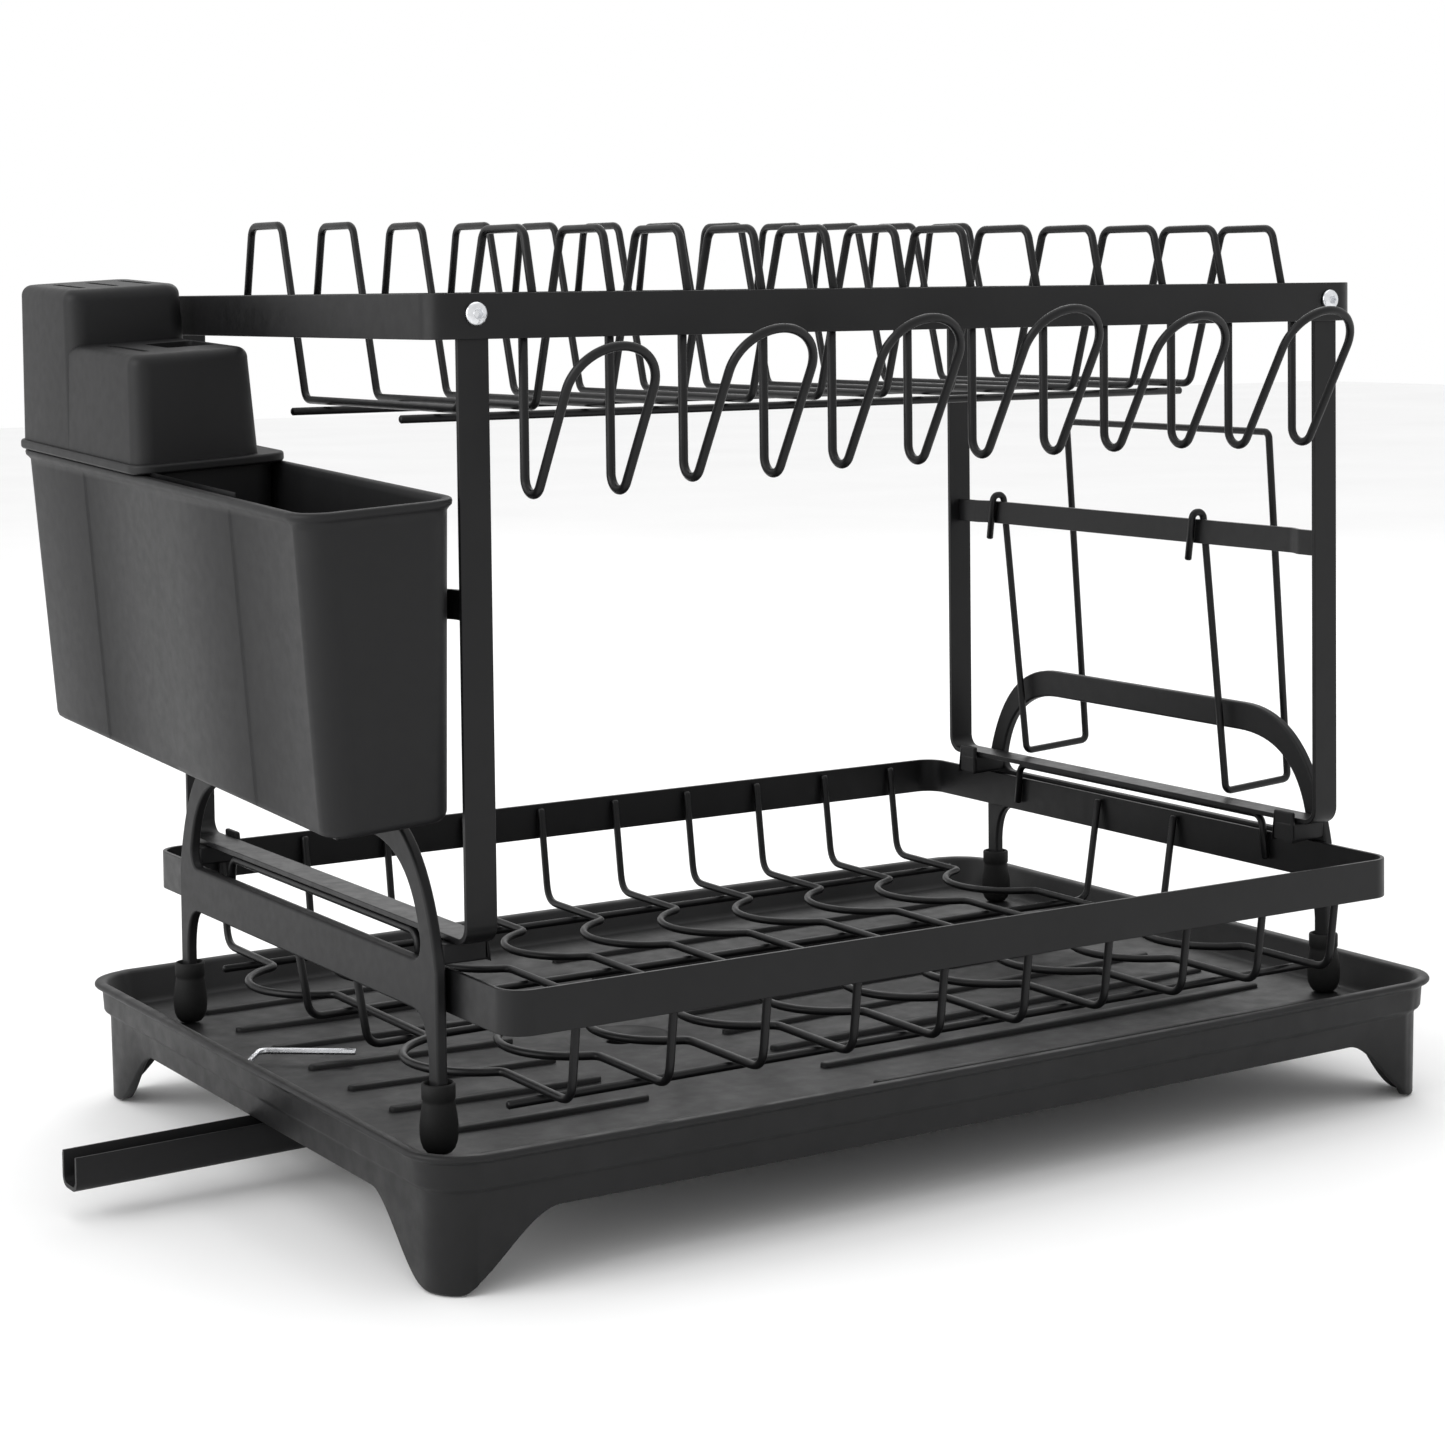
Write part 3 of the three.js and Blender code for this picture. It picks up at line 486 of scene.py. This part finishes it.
def drain_spout():
    """U channel that falls away from the drain, with a cup round the tray's collar."""
    low, high = box_mm("drain_spout")
    wall = 1.5
    half = 7.0
    height = 12.5
    end_x = low[0]
    drain_x = DRAIN_X + TRAY_X
    start_bottom = low[2] + 3
    cup_r = (high[1] - low[1]) / 2

    def section(x):
        fall = (x - drain_x) / (end_x - drain_x)
        bottom = start_bottom + (low[2] - start_bottom) * fall
        outer = [(-half, height - 1)] + arc((-half + 4, 4), 4, 180, 270, 6)
        outer += arc((half - 4, 4), 4, 270, 360, 6) + [(half, height - 1), (half - 0.5, height)]
        inner = [(half - wall + 0.3, height), (half - wall, height - 0.6)]
        inner += arc((half - 4, 4), 2.5, 360, 270, 6) + arc((-half + 4, 4), 2.5, 270, 180, 6)
        inner += [(-half + wall, height - 0.6), (-half + wall - 0.3, height), (-half + 0.5, height)]
        return [(x, y, bottom + z) for y, z in outer + inner]

    start = section(drain_x - COLLAR_R - 1)
    near_end = section(end_x + 0.6)
    channel = start + near_end + section(end_x)
    cup_top = high[2]
    profile = [(cup_r, start_bottom - 0.2), (cup_r, cup_top - 0.5), (cup_r - 0.5, cup_top),
               (COLLAR_R + 1, cup_top), (COLLAR_R + 0.6, cup_top - 0.5), (COLLAR_R + 0.6, start_bottom + 2)]
    cup_points, cup_faces = turned(profile)
    cup = [(x + drain_x, y, z) for x, y, z in cup_points]
    points, faces = joined([(channel, loft_faces(3, len(start))), (cup, cup_faces)])
    piece("drain_spout_look", points, faces, "moulded_plastic", "spout", ["drain_spout"])


def hex_key():
    low, high = box_mm("hex_key")
    z = (low[2] + high[2]) / 2
    path = bent([(low[0] + 1, 25.5, z), (low[0] + 10.5, 38, z), (high[0] - 0.8, 16, z)], 3.2)
    points, faces = tube(path, 1.22, sides=6)
    piece("hex_key_look", points, faces, "plated_steel", "key", ["hex_key"], bevel=0.15)


# Bands and wires

BAND_T = 1.6
BAND_R = 10


def band(node, body):
    low, high = box_mm(node)
    outer = rounded_rect(low[:2], high[:2], BAND_R, 14)
    inner = rounded_rect(low[:2] + BAND_T, high[:2] - BAND_T, BAND_R - BAND_T, 14)
    points, faces = ring_prism(outer, inner, "z", low[2], high[2])
    piece(f"{node}_look", points, faces, "powder_coat", body, [node], bevel=0.35)


def cradle_wire(number):
    node = f"cradle_wire_{number}"
    low, high = box_mm(node)
    x = high[0] - WIRE_R
    bottom = low[2] + WIRE_R
    floor_y = 143
    arc_middle, arc_half, depth = 67.5, 27.5, 21
    radius = (arc_half ** 2 + depth ** 2) / (2 * depth)
    half_angle = math.asin(arc_half / radius)
    weld_y = high[1] - WIRE_R + 0.3 + HIDDEN

    def cradle(middle):
        points = []
        for step in range(33):
            angle = half_angle * (1 - step / 16)
            bulge = radius * math.cos(angle) - (radius - depth)
            points.append((x - bulge, middle + radius * math.sin(angle), bottom))
        return points

    back = bent([(x, weld_y, high[2]), (x, floor_y, bottom), (x, floor_y - 20, bottom)], 6)
    front = bent([(x, -floor_y + 20, bottom), (x, -floor_y, bottom), (x, -weld_y, high[2])], 6)
    path = back + cradle(arc_middle) + cradle(-arc_middle) + front
    wire_piece(f"{node}_look", soften(path), WIRE_R, "powder_coat", "lower_rack", [node])


def soften(path, spacing=1.5, rounds=4):
    """The path in short even steps, with its corners worn round."""
    path = np.array([tuple(point) for point in path])
    lengths = np.concatenate([[0], np.cumsum(np.linalg.norm(np.diff(path, axis=0), axis=1))])
    stations = np.linspace(0, lengths[-1], int(lengths[-1] / spacing) + 1)
    even = np.array([np.interp(stations, lengths, path[:, axis]) for axis in range(3)]).T
    for _ in range(rounds):
        even[1:-1] = even[1:-1] / 2 + (even[:-2] + even[2:]) / 4
    return even


def straight_rod(node, body):
    low, high = box_mm(node)
    y, z = (low[1] + high[1]) / 2, high[2] - WIRE_R
    wire_piece(f"{node}_look", [(low[0], y, z), (0, y, z), (high[0], y, z)], WIRE_R, "powder_coat",
               body, [node])


def side_rod(node):
    low, high = box_mm(node)
    y, z = (low[1] + high[1]) / 2, low[2] + WIRE_R
    weld = high[0] - WIRE_R + 0.3 + HIDDEN
    path = bent([(-weld, y, high[2]), (-weld + 7, y, z), (weld - 7, y, z), (weld, y, high[2])], 6)
    wire_piece(f"{node}_look", path, WIRE_R, "powder_coat", "lower_rack", [node])


def support_rail(node):
    low, high = box_mm(node)
    x, z = (low[0] + high[0]) / 2, high[2] - WIRE_R
    end = high[1] - WIRE_R
    path = bent([(x, end, low[2]), (x, end - 2, z), (x, -end + 2, z), (x, -end, low[2])], 5)
    wire_piece(f"{node}_look", path, WIRE_R, "powder_coat", "lower_rack", [node])


def plate_wire(number):
    node = f"plate_wire_{number}"
    low, high = box_mm(node)
    x = (low[0] + high[0]) / 2
    top, bottom = high[2] - WIRE_R, low[2] + WIRE_R
    front_top = top - 5.5
    weld_y = high[1] - WIRE_R + 0.3 + HIDDEN
    weld_z = 312
    path = bent([(x, weld_y, weld_z), (x, 112.5, top), (x, 84, top), (x, 64, bottom),
                 (x, -64, bottom), (x, -84, front_top), (x, -112.5, front_top), (x, -weld_y, weld_z)], 5)
    wire_piece(f"{node}_look", path, WIRE_R, "powder_coat", "upper_rack", [node])


def mug_hook(number):
    """Two legs down inside the band, round a low bend and up outward into one arch."""
    node = f"mug_hook_{number}"
    low, high = box_mm(node)
    radius = 1.6
    x = (low[0] + high[0]) / 2
    half = (high[0] - low[0]) / 2 - radius
    weld_y = high[1] - radius
    bend_r, slope = 5.5, math.radians(60)
    drop_z = low[2] + radius + bend_r
    arch_y = low[1] + radius + half * math.cos(slope)
    leg = [(weld_y, 311)]
    for step in range(15):
        angle = step / 14 * (math.pi / 2 + slope)
        leg.append((weld_y - bend_r + bend_r * math.cos(angle), drop_z - bend_r * math.sin(angle)))
    bend_y, bend_z = leg[-1]
    arch_z = bend_z + (bend_y - arch_y) * math.tan(slope)
    path = [(x - half, y, z) for y, z in leg]
    for step in range(33):
        angle = math.pi * (1 - step / 32)
        rise = half * math.sin(angle)
        path.append((x + half * math.cos(angle), arch_y - rise * math.cos(slope), arch_z + rise * math.sin(slope)))
    path += [(x + half, y, z) for y, z in reversed(leg)]
    wire_piece(f"{node}_look", path, radius, "powder_coat", "upper_rack", [node])


# Frames, feet and screws


def upright_frame(node):
    low, high = box_mm(node)
    thick, corner = 2.0, 7.0
    half, bottom, top = high[1], low[2], high[2]
    outer = [(-half, top - 1), (-half, bottom + corner)]
    outer += arc((-half + corner, bottom + corner), corner, 180, 270, 8)[1:]
    outer += arc((half - corner, bottom + corner), corner, 270, 360, 8) + [(half, top - 1), (half - 0.5, top)]
    inner = [(half - thick + 0.4, top), (half - thick, top - 1)]
    inner += arc((half - corner, bottom + corner), corner - thick, 360, 270, 8)
    inner += arc((-half + corner, bottom + corner), corner - thick, 270, 180, 8)
    inner += [(-half + thick, top - 1), (-half + thick - 0.4, top), (-half + 0.5, top)]
    strip_low, strip_high = middle_mm(node)[0] - 5.7, middle_mm(node)[0] + 5.7
    frame_part = prism(outer + inner[:-1], "x", strip_low, strip_high)
    nuts = []
    for end in ENDS.values():
        nut, nut_faces = turned([(4.2, 0), (4.7, 0.5), (4.7, 3.6), (4.2, 4.1)], 6)
        inside = half - thick + HIDDEN
        place = [(middle_mm(node)[0] + px, end * (inside - pz), SCREW_Z + py) for px, py, pz in nut]
        nuts.append((place, nut_faces))
    points, faces = joined([frame_part, *nuts])
    piece(f"{node}_look", points, faces, "powder_coat", "upper_rack", [node], bevel=0.3)


def crossbar(node, side):
    low, high = box_mm(node)
    end = high[1] + 0.3
    near = min(abs(low[0]), abs(high[0]))
    rows = [(0, end), (0, 107), (0.35, 105), (2.65, 100), (3, 98)]
    path = [(shift, -y) for shift, y in rows] + [(shift, y) for shift, y in reversed(rows)]
    inner = [(side * (near + shift), y) for shift, y in path]
    outer = [(side * (near + 2 + shift), y) for shift, y in reversed(path)]
    points, faces = prism(inner + outer, "z", low[2], high[2])
    piece(f"{node}_look", points, faces, "powder_coat", "upper_rack", [node], bevel=0.35)


def spline(start, control, end, steps=12):
    """A smooth bend from start to end, pulled towards control."""
    shares = np.linspace(0, 1, steps + 1)[1:]
    start, control, end = map(np.array, (start, control, end))
    return [tuple((1 - t) ** 2 * start + 2 * t * (1 - t) * control + t ** 2 * end) for t in shares]


def end_frame(node, side):
    low, high = box_mm(node)
    outer_x = max(abs(low[0]), abs(high[0]))
    arch_z, leg_z = high[2], low[2]
    stub_out, stub_in = 108 + 3.5, 108 - 3.5
    right = [(0, arch_z), (62, arch_z)]
    right += spline((62, arch_z), (101, arch_z), (111.5, 95), 20)
    right += [(stub_out, 60), (stub_out, leg_z), (stub_in, leg_z), (stub_in, 64)]
    right += spline((stub_in, 64), (stub_in - 1, 80), (93, 80), 12) + [(0, 80)]
    outline = right + [(-y, z) for y, z in reversed(right[1:-1])]
    window_right = [(0, 134.5), (60, 134.5)] + spline((60, 134.5), (93, 134.5), (99.5, 104), 20)
    window_right += spline((99.5, 104), (99.5, 97), (93, 97), 8) + [(0, 97)]
    window = window_right + [(-y, z) for y, z in reversed(window_right[1:-1])]
    x_low, x_high = sorted((side * (outer_x - 4), side * outer_x))
    points, faces = prism(outline, "x", x_low, x_high)
    thing = piece(f"{node}_look", points, faces, "moulded_plastic", "lower_rack", [node])
    cut_by(thing, *prism(window, "x", x_low - 2, x_high + 2))
    rounding = thing.modifiers.new("rounded edges", "BEVEL")
    rounding.width = 1.1 * MM
    rounding.segments = 4
    rounding.limit_method = "ANGLE"
    rounding.angle_limit = math.radians(50)
    rounding.harden_normals = True
    sockets = []
    for end in ENDS.values():
        for x_from, x_to, z_to in ((179.6, outer_x - 3.5, 104.1), (179.6, 181.6, 108.6)):
            y_pair = sorted((end * 99, end * 110))
            x_pair = sorted((side * x_from, side * x_to))
            sockets.append(brick((x_pair[0], y_pair[0], 97.2), (x_pair[1], y_pair[1], z_to)))
    points, faces = joined(sockets)
    piece(f"{node}_sockets", points, faces, "moulded_plastic", "lower_rack", bevel=0.8)


def brick(low, high):
    outline = [(low[0], low[1]), (high[0], low[1]), (high[0], high[1]), (low[0], high[1])]
    return prism(outline, "z", low[2], high[2])


def rubber_foot(node):
    low, high = box_mm(node)
    x, y = (low[:2] + high[:2]) / 2
    profile = [(2.8, low[2]), (4.2, low[2] + 0.4), (5.4, low[2] + 1.8), (6.2, low[2] + 4), (6.5, low[2] + 6.5)]
    profile += [(6.5, low[2] + 9.5), (6.2, low[2] + 12.5), (5.5, high[2] - 6.6), (5.35, high[2] - 5.8)]
    profile += [(5.7, high[2] - 5.2), (5.75, high[2] - 0.7), (5.5, high[2] - 0.2), (5.0, high[2])]
    profile += [(4.7, high[2] - 0.3), (4.6, high[2] - 2)]
    points, faces = turned(profile)
    placed = [(px + x, py + y, pz) for px, py, pz in points]
    piece(f"{node}_look", placed, faces, "foot_rubber", "lower_rack", [node], sharp_deg=60)


SCREW_Z = middle_mm("screw_front_left")[2]


def screw(node, end):
    """Button-head screw, drawn with its head up and laid along Y."""
    low, high = box_mm(node)
    x = (low[0] + high[0]) / 2
    tip = min(abs(low[1]), abs(high[1]))
    top = max(abs(low[1]), abs(high[1]))
    seat = top - 2.2
    head = [(4.0 * math.cos(a), seat + 0.5 + 1.7 * math.sin(a)) for a in np.linspace(0, 1.1, 8)]
    profile = [(2.0, tip), (2.0, seat - 0.1), (3.8, seat - 0.1), (4.0, seat + 0.2)] + head
    profile += [(1.75, top - 0.1), (1.45, top - 0.3)]
    points, faces = turned(profile, 36)
    socket_points, socket_faces = turned([(1.75, seat + 0.6), (1.75, top + 1)], 6)
    place = [(px + x, end * pz, py + SCREW_Z) for px, py, pz in points]
    tool = [(px + x, end * pz, py + SCREW_Z) for px, py, pz in socket_points]
    thing = piece(f"{node}_look", place, faces, "plated_steel", "upper_rack", [node], sharp_deg=40)
    cut_by(thing, tool, socket_faces)


# Utensil bin, knife block and board holder

BIN_X = (-251.5, -194.6)
BIN_Y = (-125, 139.5)
BIN_TAPER = 4.5
BIN_END_TAPER = 0.8
BIN_R = 12
BIN_RIM_Z = 258
BIN_BOTTOM_Z = 151.4
BIN_TILT = math.radians(2.5)     # the bin hangs with its -Y end low
BIN_LEAN = math.radians(3)       # and with its rim's outer side low
PANEL_STEPS = (72, 5, -64)      # where the outer face's panels change depth
PANEL_DEPTH = 0.7


def hung(points):
    """Points of a piece drawn upright, turned into the way the bin hangs."""
    pivot = Matrix.Translation((BIN_X[1], 0, BIN_RIM_Z))
    turn = pivot @ Matrix.Rotation(-BIN_LEAN, 4, "Y") @ Matrix.Rotation(BIN_TILT, 4, "X") @ pivot.inverted()
    return [tuple(turn @ Vector(point)) for point in points]


def bin_ring(inset, z, low_y=-1000.0, panels=False):
    lean = min(max((BIN_RIM_Z - 3 - z) / (BIN_RIM_Z - BIN_BOTTOM_Z - 6), 0), 1)
    low = [BIN_X[0] + inset + lean * BIN_TAPER, max(BIN_Y[0] + inset + lean * BIN_END_TAPER, low_y)]
    high = [BIN_X[1] - inset - lean * BIN_TAPER, BIN_Y[1] - inset - lean * BIN_END_TAPER]
    outline = rounded_rect(low, high, BIN_R - inset, 8)
    corner = 18
    wall = []
    for number, y in enumerate(PANEL_STEPS):
        before, after = (0, PANEL_DEPTH) if number % 2 == 0 else (PANEL_DEPTH, 0)
        for shift, depth in ((1.0, before), (-0.2, after)):
            wall.append((low[0] + depth * panels, y + shift))
    middle_panel = PANEL_DEPTH * panels
    low_side = [(x + middle_panel, y) if x == low[0] else (x, y) for x, y in outline[corner:]]
    return [(x, y, z) for x, y in outline[:corner] + wall + low_side]


def utensil_bin():
    lug_top = box_mm("utensil_bin")[1][0]
    rings = [
        bin_ring(6, BIN_BOTTOM_Z + 0.1), bin_ring(3, BIN_BOTTOM_Z + 0.3), bin_ring(1.6, BIN_BOTTOM_Z + 1.4),
        bin_ring(1.0, BIN_BOTTOM_Z + 3, panels=True), bin_ring(1.0, BIN_RIM_Z - 6, panels=True),
        bin_ring(1.0, BIN_RIM_Z - 4), bin_ring(0.2, BIN_RIM_Z - 2.9), bin_ring(-0.6, BIN_RIM_Z - 2.2),
        bin_ring(-0.8, BIN_RIM_Z - 1.2), bin_ring(-0.5, BIN_RIM_Z - 0.3), bin_ring(0.1, BIN_RIM_Z),
        bin_ring(2.2, BIN_RIM_Z), bin_ring(2.9, BIN_RIM_Z - 0.7), bin_ring(3, BIN_RIM_Z - 3),
        bin_ring(3, BIN_BOTTOM_Z + 6), bin_ring(4, BIN_BOTTOM_Z + 3.6), bin_ring(6, BIN_BOTTOM_Z + 3),
    ]
    points = hung([point for ring in rings for point in ring])
    shell = (points, loft_faces(len(rings), len(rings[0])))
    hook_z = 221.3
    lugs = []
    for y in (-60, 60):
        lugs.append(brick((BIN_X[1] - 3.5, y - 10, hook_z), (lug_top, y + 10, hook_z + 3)))
        lugs.append(brick((lug_top - 2, y - 10, hook_z - 11), (lug_top, y + 10, hook_z + 2.9)))
    for y in (BIN_Y[0] + 36, BIN_Y[1] - 36):
        pad, pad_faces = brick((BIN_X[0] + 12, y - 24, BIN_BOTTOM_Z - 2), (BIN_X[1] - 12, y + 24, BIN_BOTTOM_Z + 1))
        lugs.append((hung(pad), pad_faces))
    piece("utensil_bin_look", *shell, "moulded_plastic", "bin", ["utensil_bin"], sharp_deg=50)
    piece("bin_hooks_and_pads", *joined(lugs), "moulded_plastic", "bin", bevel=0.7)


def knife_block():
    front_y, step_y, back_y = 13, 75, 136
    low_top, high_top = 300.5, 321
    lip_z = (BIN_RIM_Z + 0.3, BIN_RIM_Z + 3.8)
    wall_x, far_x = BIN_X[0] - 0.8, -203.2

    def ring(inset, y, z, radius):
        return [(a, b, z) for a, b in rounded_rect((wall_x + inset, y + inset), (far_x - inset, back_y - inset),
                                                   radius, 10)]

    def body(y, top, sunk):
        rings = [ring(0.2, y, sunk, 7), ring(1.8, y, top - 4.6, 7)]
        for step in range(1, 9):
            angle = step / 8 * math.pi / 2
            rings.append(ring(1.8 + 3.6 * (1 - math.cos(angle)), y, top - 4.6 + 4.6 * math.sin(angle), 7 - step * 0.3))
        rings.append(ring(9, y, top, 3))
        return hung([point for one in rings for point in one]), loft_faces(len(rings), len(rings[0]))

    def slot(centre_x, half_x, low_y, high_y, radius, top):
        outline = rounded_rect((centre_x - half_x, low_y), (centre_x + half_x, high_y), radius, 4)
        points, faces = prism(outline, "z", top - 40, top + 2)
        return hung(points), faces

    lip_outline = rounded_rect((BIN_X[0] - 2, front_y - 3), (BIN_X[1] + 0.5, back_y + 2), 9, 10)
    plug = bin_ring(3.8, BIN_RIM_Z - 28, low_y=front_y), bin_ring(3.8, lip_z[0] + 1, low_y=front_y)
    lower = piece("knife_block_low_step", *body(front_y, low_top, lip_z[0]), "moulded_plastic", "block", ["knife_block"])
    upper = piece("knife_block_high_step", *body(step_y, high_top, lip_z[0]), "moulded_plastic", "block")
    middle_x = (BIN_X[0] + BIN_X[1]) / 2
    for shift in (-17, -4, 9):
        cut_by(upper, *slot(middle_x + shift, 1.4, step_y + 14, step_y + 45, 1.3, high_top))
    cut_by(lower, *slot(middle_x + 3.75, 9.25, front_y + 24, front_y + 48, 2, low_top))
    cut_by(lower, *slot(middle_x - 16.6, 1.4, front_y + 16, front_y + 54, 1.3, low_top))
    lip, lip_faces = prism(lip_outline, "z", *lip_z)
    piece("knife_block_lip", hung(lip), lip_faces, "moulded_plastic", "block", bevel=1.0)
    piece("knife_block_plug", hung(plug[0] + plug[1]), loft_faces(2, len(plug[0])), "moulded_plastic", "block")


def board_holder():
    low, high = box_mm("board_holder")
    bar_x = middle_mm("screw_back_right")[0] + 3
    reach = 1 + 0.3 + WIRE_R
    over_z = 222.4 + WIRE_R
    leg_x, leg_z, outer_x, outer_z = 192.6, low[2] + WIRE_R, high[0] - WIRE_R, high[2] - WIRE_R

    def arm(hook_y, leg_y):
        return [(bar_x - reach, hook_y + 3, over_z - 20), (bar_x - reach, hook_y, over_z), (bar_x + reach, hook_y, over_z),
                (leg_x, leg_y, leg_z), (outer_x, leg_y, leg_z + 2), (outer_x - 10, leg_y, outer_z)]

    path = bent(arm(94, 77) + arm(-42, -56.5)[::-1], 2.6)
    wire_piece("board_holder_look", path, WIRE_R, "powder_coat", "holder", ["board_holder"])


# Making everything

drip_tray()
tray_ribs()
drain_spout()
hex_key()
band("lower_band", "lower_rack")
for wire_number in range(1, 11):
    cradle_wire(wire_number)
for place_name in ENDS:
    straight_rod(f"lower_rod_{place_name}", "lower_rack")
    straight_rod(f"shelf_rod_{place_name}", "upper_rack")
    side_rod(f"side_rod_{place_name}")
band("upper_band", "upper_rack")
for wire_number in range(1, 13):
    plate_wire(wire_number)
for hook_number in range(1, 7):
    mug_hook(hook_number)
for side_name, side_sign in SIDES.items():
    support_rail(f"support_rail_{side_name}")
    end_frame(f"end_frame_{side_name}", side_sign)
    upright_frame(f"upright_frame_{side_name}")
    crossbar(f"crossbar_{side_name}", side_sign)
    for end_name, end_sign in ENDS.items():
        rubber_foot(f"rubber_foot_{end_name}_{side_name}")
        screw(f"screw_{end_name}_{side_name}", end_sign)
utensil_bin()
knife_block()
board_holder()


# Floor, light and camera


def pale_floor():
    material, tree, shader, where = principled("pale floor")
    shade = spread(tree, noise(tree, where, 3), 0, 1)
    colour = between_colours(tree, shade, (0.90, 0.90, 0.90), (0.93, 0.93, 0.93))
    tree.links.new(colour, shader.inputs["Base Color"])
    shader.inputs["Roughness"].default_value = 0.9
    mesh = bpy.data.meshes.new("floor")
    half = 6.0
    mesh.from_pydata([(-half, -half, 0), (half, -half, 0), (half, half, 0), (-half, half, 0)], [], [(0, 1, 2, 3)])
    mesh.materials.append(material)
    floor = bpy.data.objects.new("floor", mesh)
    floor.location.z = -0.0005
    bpy.context.scene.collection.objects.link(floor)


def area_light(name, place, aim, size, power):
    light = bpy.data.lights.new(name, "AREA")
    light.size = size
    light.energy = power
    lamp = bpy.data.objects.new(name, light)
    lamp.location = place
    lamp.rotation_euler = (Vector(aim) - Vector(place)).to_track_quat("-Z", "Y").to_euler()
    bpy.context.scene.collection.objects.link(lamp)


def studio():
    world = bpy.data.worlds.new("studio")
    world.use_nodes = True
    world.node_tree.nodes["Background"].inputs["Color"].default_value = (1, 1, 1, 1)
    world.node_tree.nodes["Background"].inputs["Strength"].default_value = 1.0
    bpy.context.scene.world = world
    bpy.context.scene.view_settings.view_transform = "Standard"
    aim = (0, 0, 0.15)
    area_light("key", (-2.0, 0.1, 0.9), aim, 1.6, 26)
    area_light("top", (0.2, 0.2, 2.2), aim, 2.0, 10)
    area_light("rim", (1.2, 1.5, 1.4), aim, 1.0, 6)


def photo_camera():
    """Eye a metre or so off the left front corner, a little above the upper rack."""
    yaw, pitch, roll = math.radians(32.13), math.radians(2.80), math.radians(-0.67)
    ahead = Vector((math.sin(yaw) * math.cos(pitch), math.cos(yaw) * math.cos(pitch), -math.sin(pitch)))
    right = Vector((math.cos(yaw), -math.sin(yaw), 0))
    up = right.cross(ahead)
    rolled_right = right * math.cos(roll) + up * math.sin(roll)
    rolled_up = up * math.cos(roll) - right * math.sin(roll)
    camera = bpy.data.cameras.new("camera")
    camera.sensor_width = 36
    camera.lens = 74.3
    camera.shift_y = -0.201
    eye = bpy.data.objects.new("camera", camera)
    place = Matrix((rolled_right, rolled_up, -ahead)).transposed().to_4x4()
    place.translation = Vector(to_frame([(-635.5, -986.0, 320.2)])[0])
    eye.matrix_world = place
    bpy.context.scene.collection.objects.link(eye)
    bpy.context.scene.camera = eye


pale_floor()
studio()
photo_camera()
